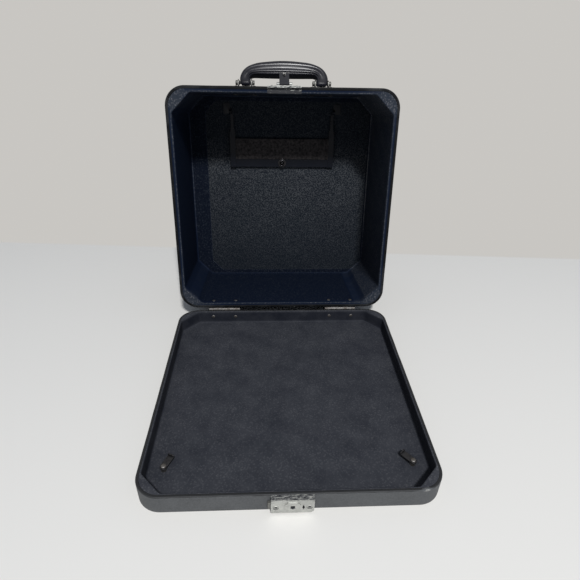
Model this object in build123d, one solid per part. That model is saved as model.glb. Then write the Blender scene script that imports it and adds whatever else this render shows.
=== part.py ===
from build123d import *
import math
import os

# Portable typewriter case. Millimetres, +Z up, +X to the right of someone facing the front.
# The origin is the centre of the tray's underside. Every lid piece is drawn where it lies when
# the case is closed, and is then turned about the hinge axis until the lid leans on the table.

# ------------------------------------------------------------------ case
CASE_WIDTH = 330.0
CASE_DEPTH = 332.0
BASE_HEIGHT = 25.5          # table to the rim of the tray
LID_HEIGHT = 150.0          # rim of the tray to the top of the closed lid
CORNER_RADIUS = 28.0        # upright corners
EDGE_RADIUS = 2.5           # edge of the lid's top
COVER = 0.8                 # leatherette
LINING = 0.8                # cloth and paper inside
SEAT_GAP = 0.3              # between the rims of the closed case
TABLE_GAP = 0.4             # under the edge that the open lid leans on
RUN = 0.05                  # radial clearance of a turning or riveted pin
FIT = 0.3                   # clearance of flat sliding and swinging faces

# ------------------------------------------------------------------ woodwork
BASE_BOARD = 3.2
BASE_WALL = 3.4
BASE_POST_LEG = 25.0        # legs of the triangle that a corner post cuts off the bay
BASE_LIP = 3.4              # leatherette turned over the rim of the tray
LID_PANEL = 4.2
LID_WALL = 6.9
LID_POST_LEG = 27.0
LID_LIP = 4.2               # leatherette turned over the rim of the lid

# ------------------------------------------------------------------ rivets
RIVET_RADIUS = 1.5
RIVET_HEAD_RADIUS = 2.8
RIVET_HEAD = 0.8

# ------------------------------------------------------------------ hinges
HINGE_OFFSET = 2.5          # axis behind the rear face
HINGE_SPACING = 190.0
HINGE_WIDTH = 50.0
HINGE_LEAF = 1.2
HINGE_LEAF_HEIGHT = 17.0
HINGE_KNUCKLES = 5
HINGE_PIN_RADIUS = 1.1
HINGE_RIVET_SPACING = 36.0
HINGE_RIVET_DROP = 10.0     # from the rim to the row of rivets

# ------------------------------------------------------------------ hold-down clips
CLIP_INSET = 18.5           # pivot from the lining of the side
CLIP_BACK = 47.5            # pivot behind the front face
CLIP_TURNS = (24.0, 40.0)   # left and right clip turned inwards at rest
CLIP_LENGTH = 20.0
CLIP_WIDTH = 8.0
CLIP_SHEET = 1.5
CLIP_LIFT = 5.0             # above the floor of the tray
CLIP_SCREW_RADIUS = 2.0
CLIP_COLLAR_RADIUS = 3.2
CLIP_HEAD = 1.6
CLIP_THREAD_RADIUS = 1.4

# ------------------------------------------------------------------ lock
FITTING_X = 0.6             # centre line of the lock, hasp and handle
LOCK_WIDTH = 45.0
LOCK_BOTTOM = 2.8
LOCK_TOP = 25.0
LOCK_DEPTH = 6.0            # out from the front face
LOCK_SHEET = 1.0
LOCK_CHAMFER = 3.0
LOCK_BACK = 0.8
SEAT_WIDTH = 16.5
SEAT_LOW = 7.5
SEAT_HIGH = 20.5
SEAT_CHAMFER = 3.5
SEAT_RISE = 0.8
SLOT_WIDTH = 4.8
SLOT_HEIGHT = 3.8
CUP_RIVET_SPACING = 35.0
CUP_RIVET_Z = 12.0
CUP_RIVET_RADIUS = 3.4
CUP_RIVET_SHANK = 1.6
KEY_X = 11.2                # from the centre line
KEY_Z = 12.0
KEY_RADIUS = 3.0
KEY_SLOT_WIDTH = 2.2
KEY_SLOT_HEIGHT = 7.6
KEY_HOUSING = 1.0           # wall around the barrel
KEY_CAM = 7.0
KEY_CAM_SHEET = 0.8
BOLT_LOW = 8.6
BOLT_HIGH = 17.6
BOLT_TRAVEL = 3.0
BOLT_EDGE = 1.8             # metal to the right of the catch's window
BOLT_GRIP = 1.0             # overlap of bolt and catch
THUMB_REACH = 3.4           # thumb tab past the side of the pan
SPRING_LENGTH = 6.1
SPRING_RADIUS = 1.5
SPRING_WIRE = 0.25
SPRING_TURNS = 6
SPRING_X = -14.0            # left end, from the centre line
SPRING_POST = 1.4

# ------------------------------------------------------------------ strike and hasp
STRIKE_WIDTH = 47.5
STRIKE_HEIGHT = 16.0
STRIKE_SHEET = 1.2
STRIKE_RETURN = 9.0         # over the rim of the lid
STRIKE_RIVET_SPACING = 35.0
STRIKE_RIVET_UP = 10.0
HASP_WIDTH = 13.8
HASP_SHEET = 1.2
HASP_LENGTH = 20.5
HASP_LIP = 2.4
HASP_KNUCKLE = 2.0
HASP_EAR = 4.0              # width of each outer knuckle
HASP_PIN_RADIUS = 1.0
HASP_UP = 3.0               # pivot above the rim of the lid
HASP_LEAN = 32.0            # from square to the lid's front, at rest
CATCH_DROP = 15.0           # from the pivot
CATCH_WIDTH = 3.2
CATCH_HEIGHT = 2.2
CATCH_HEAD = 1.5
CATCH_NECK = 1.8            # length of the notch that the bolt enters

# ------------------------------------------------------------------ handle
HANDLE_UP = 44.0            # pivot above the hinge plane
HANDLE_PIVOT = 6.0          # pivot out of the lid's front face
HANDLE_SPACING = 112.0      # between the middles of its posts
HANDLE_LEAN = 20.0
POST_WIDTH = 14.8
POST_HEEL = 4.2             # radius around the pin
GRIP_REACH = 29.8           # pivot to the top of the grip
GRIP_HEIGHT = 21.0
GRIP_DEPTH = 21.0
GRIP_CROWN = 157.0          # radius of the grip's long curve
GRIP_SHOULDER = 20.0
GRIP_ROUND = 6.0
FINGER_ROUND = 4.0
HANDLE_PIN_RADIUS = 2.0
HANDLE_PIN_HEAD = 1.6
HANDLE_PIN_HEAD_RADIUS = 3.6
HANDLE_PIN_REACH = 2.0      # from an ear to the head beside it
HANDLE_COLLAR_RADIUS = 3.4  # collars that keep the posts off the ears
CORE_INSET = 8.0
CORE_END = 1.2              # short of the post's heel
CORE_SHEET = 2.5
CORE_DEPTH = 5.0
CLEVIS_SHEET = 1.5
CLEVIS_LENGTH = 35.0
CLEVIS_HEIGHT = 13.0
CLEVIS_EAR_RADIUS = 4.8
CLEVIS_GAP = 1.5            # between a post and the ear beside it
BRACKET_RIVET_SPACING = 26.8

# ------------------------------------------------------------------ paper holder
HOLDER_X = 2.0              # centre line
HOLDER_BACK = 33.5          # pivot behind the lid's front face
HOLDER_DROP = 6.0           # pivot below the panel's lining
HOLDER_WIDTH = 179.0
HOLDER_LENGTH = 89.8        # pivot to the free edge
HOLDER_SHEET = 1.2
ARM_SPACING = 169.8         # between the middles of the narrow arms
ARM_WIDTH = 4.6
ARM_LENGTH = 27.0
STRAP_WIDTH = 9.2
BAR_WIDTH = 12.7
BOARD_SHEET = 1.6
BOARD_LENGTH = 34.0
HOLDER_EAR_RADIUS = 3.6
HOLDER_PIN_RADIUS = 1.5
HOLDER_PIN_HEAD = 0.8
HOLDER_PIN_HEAD_RADIUS = 2.6
BRACKET_SHEET = 1.2
BRACKET_FOOT = 12.0
BRACKET_LENGTH = 17.0
SNAP_RADIUS = 7.3
SNAP_SHEET = 1.8
STUD_RADIUS = 2.4
STUD_COLLAR = 4.2
SNAP_CLEARANCE = 0.7
STUD_REACH = 1.4            # past the front of the snap cap

# ------------------------------------------------------------------ worked out
FRONT = -CASE_DEPTH / 2
REAR = CASE_DEPTH / 2
RIM = BASE_HEIGHT
HINGE_Y = REAR + HINGE_OFFSET
FLOOR = COVER + BASE_BOARD + LINING
LID_RIM = RIM + SEAT_GAP
LID_TOP = RIM + LID_HEIGHT
PANEL_UNDER = LID_TOP - COVER - LID_PANEL
CEILING = PANEL_UNDER - LINING
BASE_SIDE = COVER + BASE_WALL + LINING
LID_SIDE = COVER + LID_WALL + LINING
LEAN_REACH = math.hypot(HINGE_OFFSET, LID_HEIGHT)
OPEN_ANGLE = math.degrees(
    math.atan2(HINGE_OFFSET, LID_HEIGHT) + math.acos((TABLE_GAP - BASE_HEIGHT) / LEAN_REACH)
)
KNUCKLE_RADIUS = HINGE_OFFSET - FIT
HINGE_XS = (-HINGE_SPACING / 2, HINGE_SPACING / 2)
HINGE_RIVET_XS = [x + side * HINGE_RIVET_SPACING / 2 for x in HINGE_XS for side in (-1, 1)]
HASP_OUT = STRIKE_SHEET + HASP_KNUCKLE + FIT
HASP_Z = LID_RIM + HASP_UP
CATCH_Z = HASP_Z - CATCH_DROP
HANDLE_Z = RIM + HANDLE_UP
HANDLE_XS = (FITTING_X - HANDLE_SPACING / 2, FITTING_X + HANDLE_SPACING / 2)
BRACKET_RIVET_XS = [x + side * BRACKET_RIVET_SPACING / 2 for x in HANDLE_XS for side in (-1, 1)]
STRIKE_RIVET_XS = [FITTING_X + side * STRIKE_RIVET_SPACING / 2 for side in (-1, 1)]
EAR_INSIDE = POST_WIDTH / 2 + CLEVIS_GAP
EAR_OUTSIDE = EAR_INSIDE + CLEVIS_SHEET
HEAD_INSIDE = EAR_OUTSIDE + HANDLE_PIN_REACH
HOLDER_Y = FRONT + HOLDER_BACK
HOLDER_Z = CEILING - HOLDER_DROP
HOLDER_END = HOLDER_Y + HOLDER_LENGTH
ARM_OUTSIDE = ARM_SPACING / 2 + ARM_WIDTH / 2
CLIP_X = CASE_WIDTH / 2 - BASE_SIDE - CLIP_INSET
CLIP_Y = FRONT + CLIP_BACK
BOLT_BACK = LOCK_BACK + FIT
BOLT_FRONT = LOCK_DEPTH - LOCK_SHEET - FIT


# ------------------------------------------------------------------ helpers
def block(x0, x1, y0, y1, z0, z1):
    """Box between two corners."""
    size = Box(x1 - x0, y1 - y0, z1 - z0)
    return Pos((x0 + x1) / 2, (y0 + y1) / 2, (z0 + z1) / 2) * size


def front_block(x0, x1, out0, out1, z0, z1):
    """Box in front of the case, given by how far out of the front face it lies."""
    return block(x0, x1, FRONT - out1, FRONT - out0, z0, z1)


def rod_x(x0, x1, y, z, radius):
    """Round bar along X."""
    return Pos((x0 + x1) / 2, y, z) * Rot(0, 90, 0) * Cylinder(radius, x1 - x0)


def rod_y(y0, y1, x, z, radius):
    """Round bar along Y."""
    return Pos(x, (y0 + y1) / 2, z) * Rot(90, 0, 0) * Cylinder(radius, y1 - y0)


def rod_z(z0, z1, x, y, radius):
    """Round bar along Z."""
    return Pos(x, y, (z0 + z1) / 2) * Cylinder(radius, z1 - z0)


def footprint(inset):
    """Outline of the case from above, moved in by inset."""
    return RectangleRounded(CASE_WIDTH - 2 * inset, CASE_DEPTH - 2 * inset, CORNER_RADIUS - inset)


def bay(side, leg):
    """Outline of the room inside walls of this thickness, with its corners cut off by the posts."""
    room = Rectangle(CASE_WIDTH - 2 * side, CASE_DEPTH - 2 * side)
    return chamfer(room.vertices(), leg)


def moved_leg(leg, distance):
    """Leg of a corner cut after its outline moves in by a distance."""
    return leg - distance * (2 - math.sqrt(2))


def slab(sketch, low, high):
    """Sketch on the ground plane, raised between two heights."""
    return Pos(0, 0, low) * extrude(sketch, high - low)


def front_slab(sketch, out0, out1):
    """Sketch of X and Z, extruded out of the front face of the case."""
    return Pos(0, FRONT - out0, 0) * extrude(Plane.XZ * sketch, out1 - out0)


def wall_piece(side, leg, low, high, place_x, place_y):
    """One rail (one of the places is 0) or one corner post of a ring of walls."""
    ring = slab(footprint(COVER) - bay(side, leg), low, high)
    keep = max(CORNER_RADIUS, side + leg)
    size_x = 2 * keep if place_x else CASE_WIDTH - 2 * keep
    size_y = 2 * keep if place_y else CASE_DEPTH - 2 * keep
    centre = Pos(place_x * CASE_WIDTH / 2, place_y * CASE_DEPTH / 2, (low + high) / 2)
    return ring & (centre * Box(size_x, size_y, 2 * (high - low)))


def y_rivet(x, z, inner, outer):
    """Rivet through a front or rear wall: shank between two faces, with a head on each."""
    step = math.copysign(RIVET_HEAD, outer - inner)
    shank = rod_y(min(inner, outer), max(inner, outer), x, z, RIVET_RADIUS)
    heads = [sorted((inner - step, inner)), sorted((outer, outer + step))]
    for low, high in heads:
        shank += rod_y(low, high, x, z, RIVET_HEAD_RADIUS)
    return shank


def rivet_holes(xs, z, y):
    """Cutters for a row of rivets through the wall at y."""
    length = 4 * LID_SIDE
    holes = [rod_y(y - length / 2, y + length / 2, x, z, RIVET_RADIUS + RUN) for x in xs]
    return sum(holes[1:], holes[0])


def opened(shape):
    """Turn a lid piece from the closed case to the open one."""
    return shape.rotate(Axis((0, HINGE_Y, RIM), (1, 0, 0)), -OPEN_ANGLE)


def leaned(shape, out, z, angle):
    """Turn a piece that hangs on the lid's front about its own pivot."""
    return shape.rotate(Axis((0, FRONT - out, z), (1, 0, 0)), -angle)


# ------------------------------------------------------------------ tray
def base_rivet_holes():
    """Holes for the hinge rivets in the rear of the tray."""
    return rivet_holes(HINGE_RIVET_XS, RIM - HINGE_RIVET_DROP, REAR)


def lock_rivet_holes():
    """Holes for the cup rivets in the front of the tray."""
    xs = [FITTING_X + side * CUP_RIVET_SPACING / 2 for side in (-1, 1)]
    reach = BASE_SIDE + LOCK_DEPTH + 1
    holes = [rod_y(FRONT - reach, FRONT + reach, x, CUP_RIVET_Z, CUP_RIVET_SHANK + RUN) for x in xs]
    return holes[0] + holes[1]


def clip_screw_holes():
    """Holes for the threads of the clip screws."""
    holes = [rod_z(COVER, FLOOR, x, CLIP_Y, CLIP_THREAD_RADIUS + RUN) for x in (-CLIP_X, CLIP_X)]
    return holes[0] + holes[1]


def base_bottom_sheet():
    """Leatherette glued under the board."""
    return slab(footprint(COVER), 0, COVER)


def base_board():
    """Plywood bottom, under the rails."""
    return slab(footprint(COVER), COVER, COVER + BASE_BOARD) - clip_screw_holes()


def base_wall(place_x, place_y):
    """Rail or corner post of the tray, between the board and the turned leatherette."""
    side = COVER + BASE_WALL
    leg = BASE_POST_LEG
    piece = wall_piece(side, leg, COVER + BASE_BOARD, RIM - COVER, place_x, place_y)
    return piece - base_rivet_holes() - lock_rivet_holes()


def base_cover():
    """Leatherette around the tray, turned over its rim."""
    skirt = slab(footprint(0) - footprint(COVER), 0, RIM)
    lip = slab(footprint(COVER) - footprint(BASE_LIP), RIM - COVER, RIM)
    return skirt + lip - base_rivet_holes() - lock_rivet_holes()


def base_lining():
    """Lining of the floor and the sides, turned over the rim as far as the leatherette."""
    outer_side = COVER + BASE_WALL
    inner_leg = moved_leg(BASE_POST_LEG, LINING)
    floor = slab(bay(outer_side, BASE_POST_LEG), FLOOR - LINING, FLOOR)
    room = bay(BASE_SIDE, inner_leg)
    sides = slab(bay(outer_side, BASE_POST_LEG) - room, FLOOR - LINING, RIM)
    turned = slab(footprint(BASE_LIP + RUN) - room, RIM - COVER, RIM)
    lining = floor + sides + turned
    return lining - base_rivet_holes() - lock_rivet_holes() - clip_screw_holes()


# ------------------------------------------------------------------ hold-down clips
def hold_down_clip(side):
    """Swivelling clip with a raised thumb end."""
    x = side * CLIP_X
    low = FLOOR + CLIP_LIFT + FIT / 2
    half = CLIP_WIDTH / 2
    end = CLIP_Y + CLIP_LENGTH - half
    clip = block(x - half, x + half, CLIP_Y, end, low, low + CLIP_SHEET)
    clip += rod_z(low, low + CLIP_SHEET, x, CLIP_Y, half)
    clip += block(x - half, x + half, end - CLIP_SHEET, end, low, low + 3 * CLIP_SHEET)
    clip -= rod_z(low, low + CLIP_SHEET, x, CLIP_Y, CLIP_SCREW_RADIUS + RUN)
    turn = CLIP_TURNS[0] if side < 0 else CLIP_TURNS[1]
    return clip.rotate(Axis((x, CLIP_Y, 0), (0, 0, 1)), side * turn)


def hold_down_screws():
    """Shouldered screws that carry the clips."""
    screws = []
    for x in (-CLIP_X, CLIP_X):
        seat = FLOOR + CLIP_LIFT
        neck = seat + CLIP_SHEET + FIT
        screw = rod_z(COVER, FLOOR, x, CLIP_Y, CLIP_THREAD_RADIUS)
        screw += rod_z(FLOOR, seat, x, CLIP_Y, CLIP_COLLAR_RADIUS)
        screw += rod_z(seat, neck, x, CLIP_Y, CLIP_SCREW_RADIUS)
        screw += rod_z(neck, neck + CLIP_HEAD, x, CLIP_Y, CLIP_COLLAR_RADIUS)
        screws.append(screw)
    return Compound(children=screws)


# ------------------------------------------------------------------ hinges
def knuckle_spans(centre_x, first):
    """Ends along X of every second knuckle, from the first one."""
    pitch = HINGE_WIDTH / HINGE_KNUCKLES
    left = centre_x - HINGE_WIDTH / 2
    spans = [(left + i * pitch, left + (i + 1) * pitch) for i in range(first, HINGE_KNUCKLES, 2)]
    return [(start + FIT / 2, end - FIT / 2) for start, end in spans]


def hinge_leaf(centre_x, first, low, high):
    """Leaf on the rear face, with every second knuckle around the hinge axis."""
    half = HINGE_WIDTH / 2
    leaf = block(centre_x - half, centre_x + half, REAR, REAR + HINGE_LEAF, low, high)
    for start, end in knuckle_spans(centre_x, 1 - first):
        leaf -= rod_x(start - FIT, end + FIT, HINGE_Y, RIM, KNUCKLE_RADIUS + FIT)
    for start, end in knuckle_spans(centre_x, first):
        leaf += rod_x(start, end, HINGE_Y, RIM, KNUCKLE_RADIUS)
    bore = rod_x(centre_x - half, centre_x + half, HINGE_Y, RIM, HINGE_PIN_RADIUS + RUN)
    return leaf - bore


def base_hinge_leaf(centre_x):
    """Leaf on the tray, with the outer knuckles."""
    return hinge_leaf(centre_x, 0, RIM - HINGE_LEAF_HEIGHT, RIM) - base_rivet_holes()


def lid_hinge_leaf(centre_x):
    """Leaf on the lid, with the knuckles between."""
    leaf = hinge_leaf(centre_x, 1, LID_RIM, LID_RIM + HINGE_LEAF_HEIGHT)
    return opened(leaf - lid_rear_rivet_holes())


def hinge_pin(centre_x):
    """Pin through all the knuckles of a hinge."""
    half = HINGE_WIDTH / 2
    return rod_x(centre_x - half, centre_x + half, HINGE_Y, RIM, HINGE_PIN_RADIUS)


def base_hinge_rivets():
    """Rivets of the leaves on the tray."""
    z = RIM - HINGE_RIVET_DROP
    return Compound(
        children=[y_rivet(x, z, REAR - BASE_SIDE, REAR + HINGE_LEAF) for x in HINGE_RIVET_XS]
    )


# ------------------------------------------------------------------ lock
def lock_outline(inset):
    """Face of the lock with its cut corner, moved in by inset."""
    half = LOCK_WIDTH / 2 - inset
    low = LOCK_BOTTOM + inset
    high = LOCK_TOP - inset
    cut = moved_leg(LOCK_CHAMFER, inset)
    points = [(-half, low), (half - cut, low), (half, low + cut), (half, high), (-half, high)]
    return Pos(FITTING_X, 0) * Polygon(*points, align=None)


def catch_slot():
    """Opening that the catch enters."""
    return Pos(FITTING_X, CATCH_Z) * RectangleRounded(SLOT_WIDTH, SLOT_HEIGHT, SLOT_HEIGHT / 3)


def key_slot():
    """Diamond keyhole."""
    half = KEY_SLOT_WIDTH / 2
    tall = KEY_SLOT_HEIGHT / 2
    diamond = Polygon((-half, 0), (0, -tall), (half, 0), (0, tall), align=None)
    return Pos(FITTING_X + KEY_X, KEY_Z) * diamond


def lock_seat():
    """Outline of the raised seat under the hasp."""
    middle = (SEAT_LOW + SEAT_HIGH) / 2
    seat = Rectangle(SEAT_WIDTH, SEAT_HIGH - SEAT_LOW)
    return Pos(FITTING_X, middle) * chamfer(seat.vertices(), SEAT_CHAMFER)


def lock_face():
    """Pressed pan on the front of the tray, with the raised seat, slots and tab window."""
    pan = front_slab(lock_outline(0), 0, LOCK_DEPTH)
    pan -= front_slab(lock_outline(LOCK_SHEET), 0, LOCK_DEPTH - LOCK_SHEET)
    pan += front_slab(lock_seat(), LOCK_DEPTH, LOCK_DEPTH + SEAT_RISE)
    pan -= front_slab(catch_slot() + key_slot(), 0, LOCK_DEPTH + SEAT_RISE)
    left = FITTING_X - LOCK_WIDTH / 2
    window = (BOLT_BACK - FIT / 2, BOLT_FRONT + FIT / 2, BOLT_LOW - FIT, BOLT_HIGH + FIT)
    pan -= front_block(left, left + LOCK_SHEET, *window)
    return pan - lock_rivet_holes()


def lock_back():
    """Back plate with the key housing and the post of the spring."""
    plate = front_slab(lock_outline(LOCK_SHEET + RUN), 0, LOCK_BACK)
    key_x = FITTING_X + KEY_X
    wall = KEY_RADIUS + KEY_HOUSING
    front = LOCK_DEPTH - LOCK_SHEET - RUN
    housing = front_block(key_x - wall, key_x + wall, 0, front, KEY_Z - wall, KEY_Z + wall)
    room = LOCK_BACK + 2 * FIT + KEY_CAM_SHEET
    right = key_x + KEY_CAM_SHEET
    low = KEY_Z - KEY_CAM_SHEET
    cam_room = front_block(key_x - wall, right, LOCK_BACK, room, low, KEY_Z + wall)
    bore = rod_y(FRONT - front, FRONT - LOCK_BACK, key_x, KEY_Z, KEY_RADIUS + RUN)
    middle = (BOLT_LOW + BOLT_HIGH) / 2
    post_x = FITTING_X + SPRING_X + SPRING_LENGTH
    half = SPRING_RADIUS + FIT
    post = front_block(post_x, post_x + SPRING_POST, 0, BOLT_FRONT, middle - half, middle + half)
    return plate + (housing - cam_room - bore) + post - lock_rivet_holes()


def lock_bolt():
    """Sliding bolt with its thumb tab, windowed for the rivet, the spring and the catch."""
    left = FITTING_X - LOCK_WIDTH / 2 - THUMB_REACH
    catch_right = FITTING_X + CATCH_WIDTH / 2
    edge = catch_right - BOLT_GRIP
    head_side = catch_right + FIT
    bolt = front_block(left, head_side + BOLT_EDGE, BOLT_BACK, BOLT_FRONT, BOLT_LOW, BOLT_HIGH)
    middle = (BOLT_LOW + BOLT_HIGH) / 2
    tall = SLOT_HEIGHT / 2 + FIT
    window_left = FITTING_X - CATCH_WIDTH / 2 - BOLT_TRAVEL - FIT
    nose = (BOLT_FRONT - CATCH_NECK + FIT, BOLT_FRONT)
    bolt -= front_block(window_left, edge, BOLT_BACK, BOLT_FRONT, CATCH_Z - tall, CATCH_Z + tall)
    bolt -= front_block(edge, head_side, BOLT_BACK, nose[0], CATCH_Z - tall, CATCH_Z + tall)
    pocket = SPRING_RADIUS + 2 * FIT
    pocket_right = FITTING_X + SPRING_X + SPRING_LENGTH + SPRING_POST + FIT
    bolt -= front_block(
        FITTING_X + SPRING_X, pocket_right, BOLT_BACK, BOLT_FRONT, middle - pocket, middle + pocket
    )
    rivet_x = FITTING_X - CUP_RIVET_SPACING / 2
    room = CUP_RIVET_SHANK + FIT
    slot = (rivet_x - room - BOLT_TRAVEL, rivet_x + room, BOLT_BACK, BOLT_FRONT)
    return bolt - front_block(*slot, CUP_RIVET_Z - room, CUP_RIVET_Z + room)


def lock_spring():
    """Coil spring between the bolt and the post, drawn as its stack of turns."""
    middle = (BOLT_LOW + BOLT_HIGH) / 2
    depth = (BOLT_BACK + BOLT_FRONT) / 2
    pitch = (SPRING_LENGTH - 2 * SPRING_WIRE) / SPRING_TURNS
    helix = Helix(pitch, pitch * SPRING_TURNS, SPRING_RADIUS - SPRING_WIRE)
    section = Plane(origin=helix @ 0, z_dir=helix % 0) * Circle(SPRING_WIRE)
    coil = Rot(0, 90, 0) * sweep(section, path=helix, is_frenet=True)
    return Pos(FITTING_X + SPRING_X + SPRING_WIRE, FRONT - depth, middle) * coil


def key_barrel():
    """Key barrel with its keyway, and the cam that blocks the bolt."""
    key_x = FITTING_X + KEY_X
    front = LOCK_DEPTH - LOCK_SHEET - FIT / 2
    back = LOCK_BACK + FIT
    barrel = rod_y(FRONT - front, FRONT - back, key_x, KEY_Z, KEY_RADIUS)
    half = KEY_SLOT_WIDTH / 4
    tall = KEY_RADIUS - FIT
    barrel -= front_block(key_x - half, key_x + half, front / 2, front, KEY_Z - tall, KEY_Z + tall)
    cam_right = key_x + KEY_CAM_SHEET - FIT
    cam = front_block(
        key_x - KEY_CAM_SHEET, cam_right, back, back + KEY_CAM_SHEET, KEY_Z, KEY_Z + KEY_CAM
    )
    return barrel + cam


def lock_rivets():
    """Cup rivets that hold the lock to the tray."""
    rivets = []
    for side in (-1, 1):
        x = FITTING_X + side * CUP_RIVET_SPACING / 2
        inner = FRONT + BASE_SIDE
        outer = FRONT - LOCK_DEPTH
        rivet = rod_y(outer, inner, x, CUP_RIVET_Z, CUP_RIVET_SHANK)
        rivet += rod_y(outer - RIVET_HEAD, outer, x, CUP_RIVET_Z, CUP_RIVET_RADIUS)
        rivet += rod_y(inner, inner + RIVET_HEAD, x, CUP_RIVET_Z, RIVET_HEAD_RADIUS)
        cup = CUP_RIVET_RADIUS - RIVET_HEAD
        rivet -= rod_y(outer - RIVET_HEAD, outer - RIVET_HEAD / 4, x, CUP_RIVET_Z, cup)
        rivets.append(rivet)
    return Compound(children=rivets)


# ------------------------------------------------------------------ lid
def lid_rear_rivet_holes():
    """Holes for the hinge rivets in the rear of the lid."""
    return rivet_holes(HINGE_RIVET_XS, LID_RIM + HINGE_RIVET_DROP, REAR)


def lid_front_rivet_holes():
    """Holes for the rivets of the handle brackets and of the strike plate."""
    holes = rivet_holes(BRACKET_RIVET_XS, HANDLE_Z, FRONT)
    return holes + rivet_holes(STRIKE_RIVET_XS, LID_RIM + STRIKE_RIVET_UP, FRONT)


def strike_recess():
    """Room for the strike plate's return in the rim of the lid."""
    half = STRIKE_WIDTH / 2 + RUN
    back = FRONT + STRIKE_RETURN + RUN
    return block(FITTING_X - half, FITTING_X + half, FRONT, back, LID_RIM, LID_RIM + COVER)


def lid_panel():
    """Plywood top of the lid."""
    return opened(slab(footprint(COVER), PANEL_UNDER, LID_TOP - COVER))


def lid_wall(place_x, place_y):
    """Wall or corner post of the lid, between the turned leatherette and the panel."""
    side = COVER + LID_WALL
    piece = wall_piece(side, LID_POST_LEG, LID_RIM + COVER, PANEL_UNDER, place_x, place_y)
    return opened(piece - lid_rear_rivet_holes() - lid_front_rivet_holes())


def lid_cover():
    """Leatherette over the lid, turned over its rim."""
    shell = slab(footprint(0), LID_RIM, LID_TOP)
    top_edge = shell.faces().sort_by(Axis.Z)[-1].edges()
    shell = fillet(top_edge, EDGE_RADIUS)
    shell -= slab(footprint(COVER), LID_RIM + COVER, LID_TOP - COVER)
    shell -= slab(footprint(LID_LIP), LID_RIM, LID_RIM + COVER)
    shell -= strike_recess()
    return opened(shell - lid_rear_rivet_holes() - lid_front_rivet_holes())


def lid_wall_lining():
    """Lining of the lid's walls, turned over the rim as far as the leatherette."""
    outer_side = COVER + LID_WALL
    room = bay(LID_SIDE, moved_leg(LID_POST_LEG, LINING))
    sides = slab(bay(outer_side, LID_POST_LEG) - room, LID_RIM, CEILING)
    turned = slab(footprint(LID_LIP + RUN) - room, LID_RIM, LID_RIM + COVER)
    lining = sides + turned - strike_recess()
    return opened(lining - lid_rear_rivet_holes() - lid_front_rivet_holes())


def lid_panel_lining():
    """Speckled lining under the panel."""
    return opened(slab(bay(COVER + LID_WALL, LID_POST_LEG), CEILING, PANEL_UNDER))


def lid_rivets():
    """Rivets of the hinges, the handle brackets and the strike plate."""
    rear = [
        y_rivet(x, LID_RIM + HINGE_RIVET_DROP, REAR - LID_SIDE, REAR + HINGE_LEAF)
        for x in HINGE_RIVET_XS
    ]
    inner = FRONT + LID_SIDE + CLEVIS_SHEET
    brackets = [y_rivet(x, HANDLE_Z, inner, FRONT - CLEVIS_SHEET) for x in BRACKET_RIVET_XS]
    strike_z = LID_RIM + STRIKE_RIVET_UP
    strike = [y_rivet(x, strike_z, FRONT + LID_SIDE, FRONT - STRIKE_SHEET) for x in STRIKE_RIVET_XS]
    return opened(Compound(children=rear + brackets + strike))


# ------------------------------------------------------------------ strike and hasp
def strike_plate():
    """Plate on the lid's front, returned over the rim, with the outer knuckles of the hasp."""
    half = STRIKE_WIDTH / 2
    top = LID_RIM + STRIKE_HEIGHT
    left = FITTING_X - half
    right = FITTING_X + half
    plate = front_block(left, right, 0, STRIKE_SHEET, LID_RIM, top)
    plate += block(left, right, FRONT, FRONT + STRIKE_RETURN, LID_RIM, LID_RIM + COVER - RUN)
    start = HASP_WIDTH / 2 + FIT / 2
    for side in (-1, 1):
        low, high = sorted((FITTING_X + side * start, FITTING_X + side * (start + HASP_EAR)))
        span = (HASP_Z - HASP_KNUCKLE, HASP_Z + HASP_KNUCKLE)
        web = front_block(low, high, STRIKE_SHEET, HASP_OUT, *span)
        plate += web + rod_x(low, high, FRONT - HASP_OUT, HASP_Z, HASP_KNUCKLE)
    reach = start + HASP_EAR
    bore = rod_x(
        FITTING_X - reach, FITTING_X + reach, FRONT - HASP_OUT, HASP_Z, HASP_PIN_RADIUS + RUN
    )
    return opened(plate - bore - lid_front_rivet_holes())


def hasp_pin():
    """Pin of the hasp."""
    reach = HASP_WIDTH / 2 + FIT / 2 + HASP_EAR
    return opened(
        rod_x(FITTING_X - reach, FITTING_X + reach, FRONT - HASP_OUT, HASP_Z, HASP_PIN_RADIUS)
    )


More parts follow.
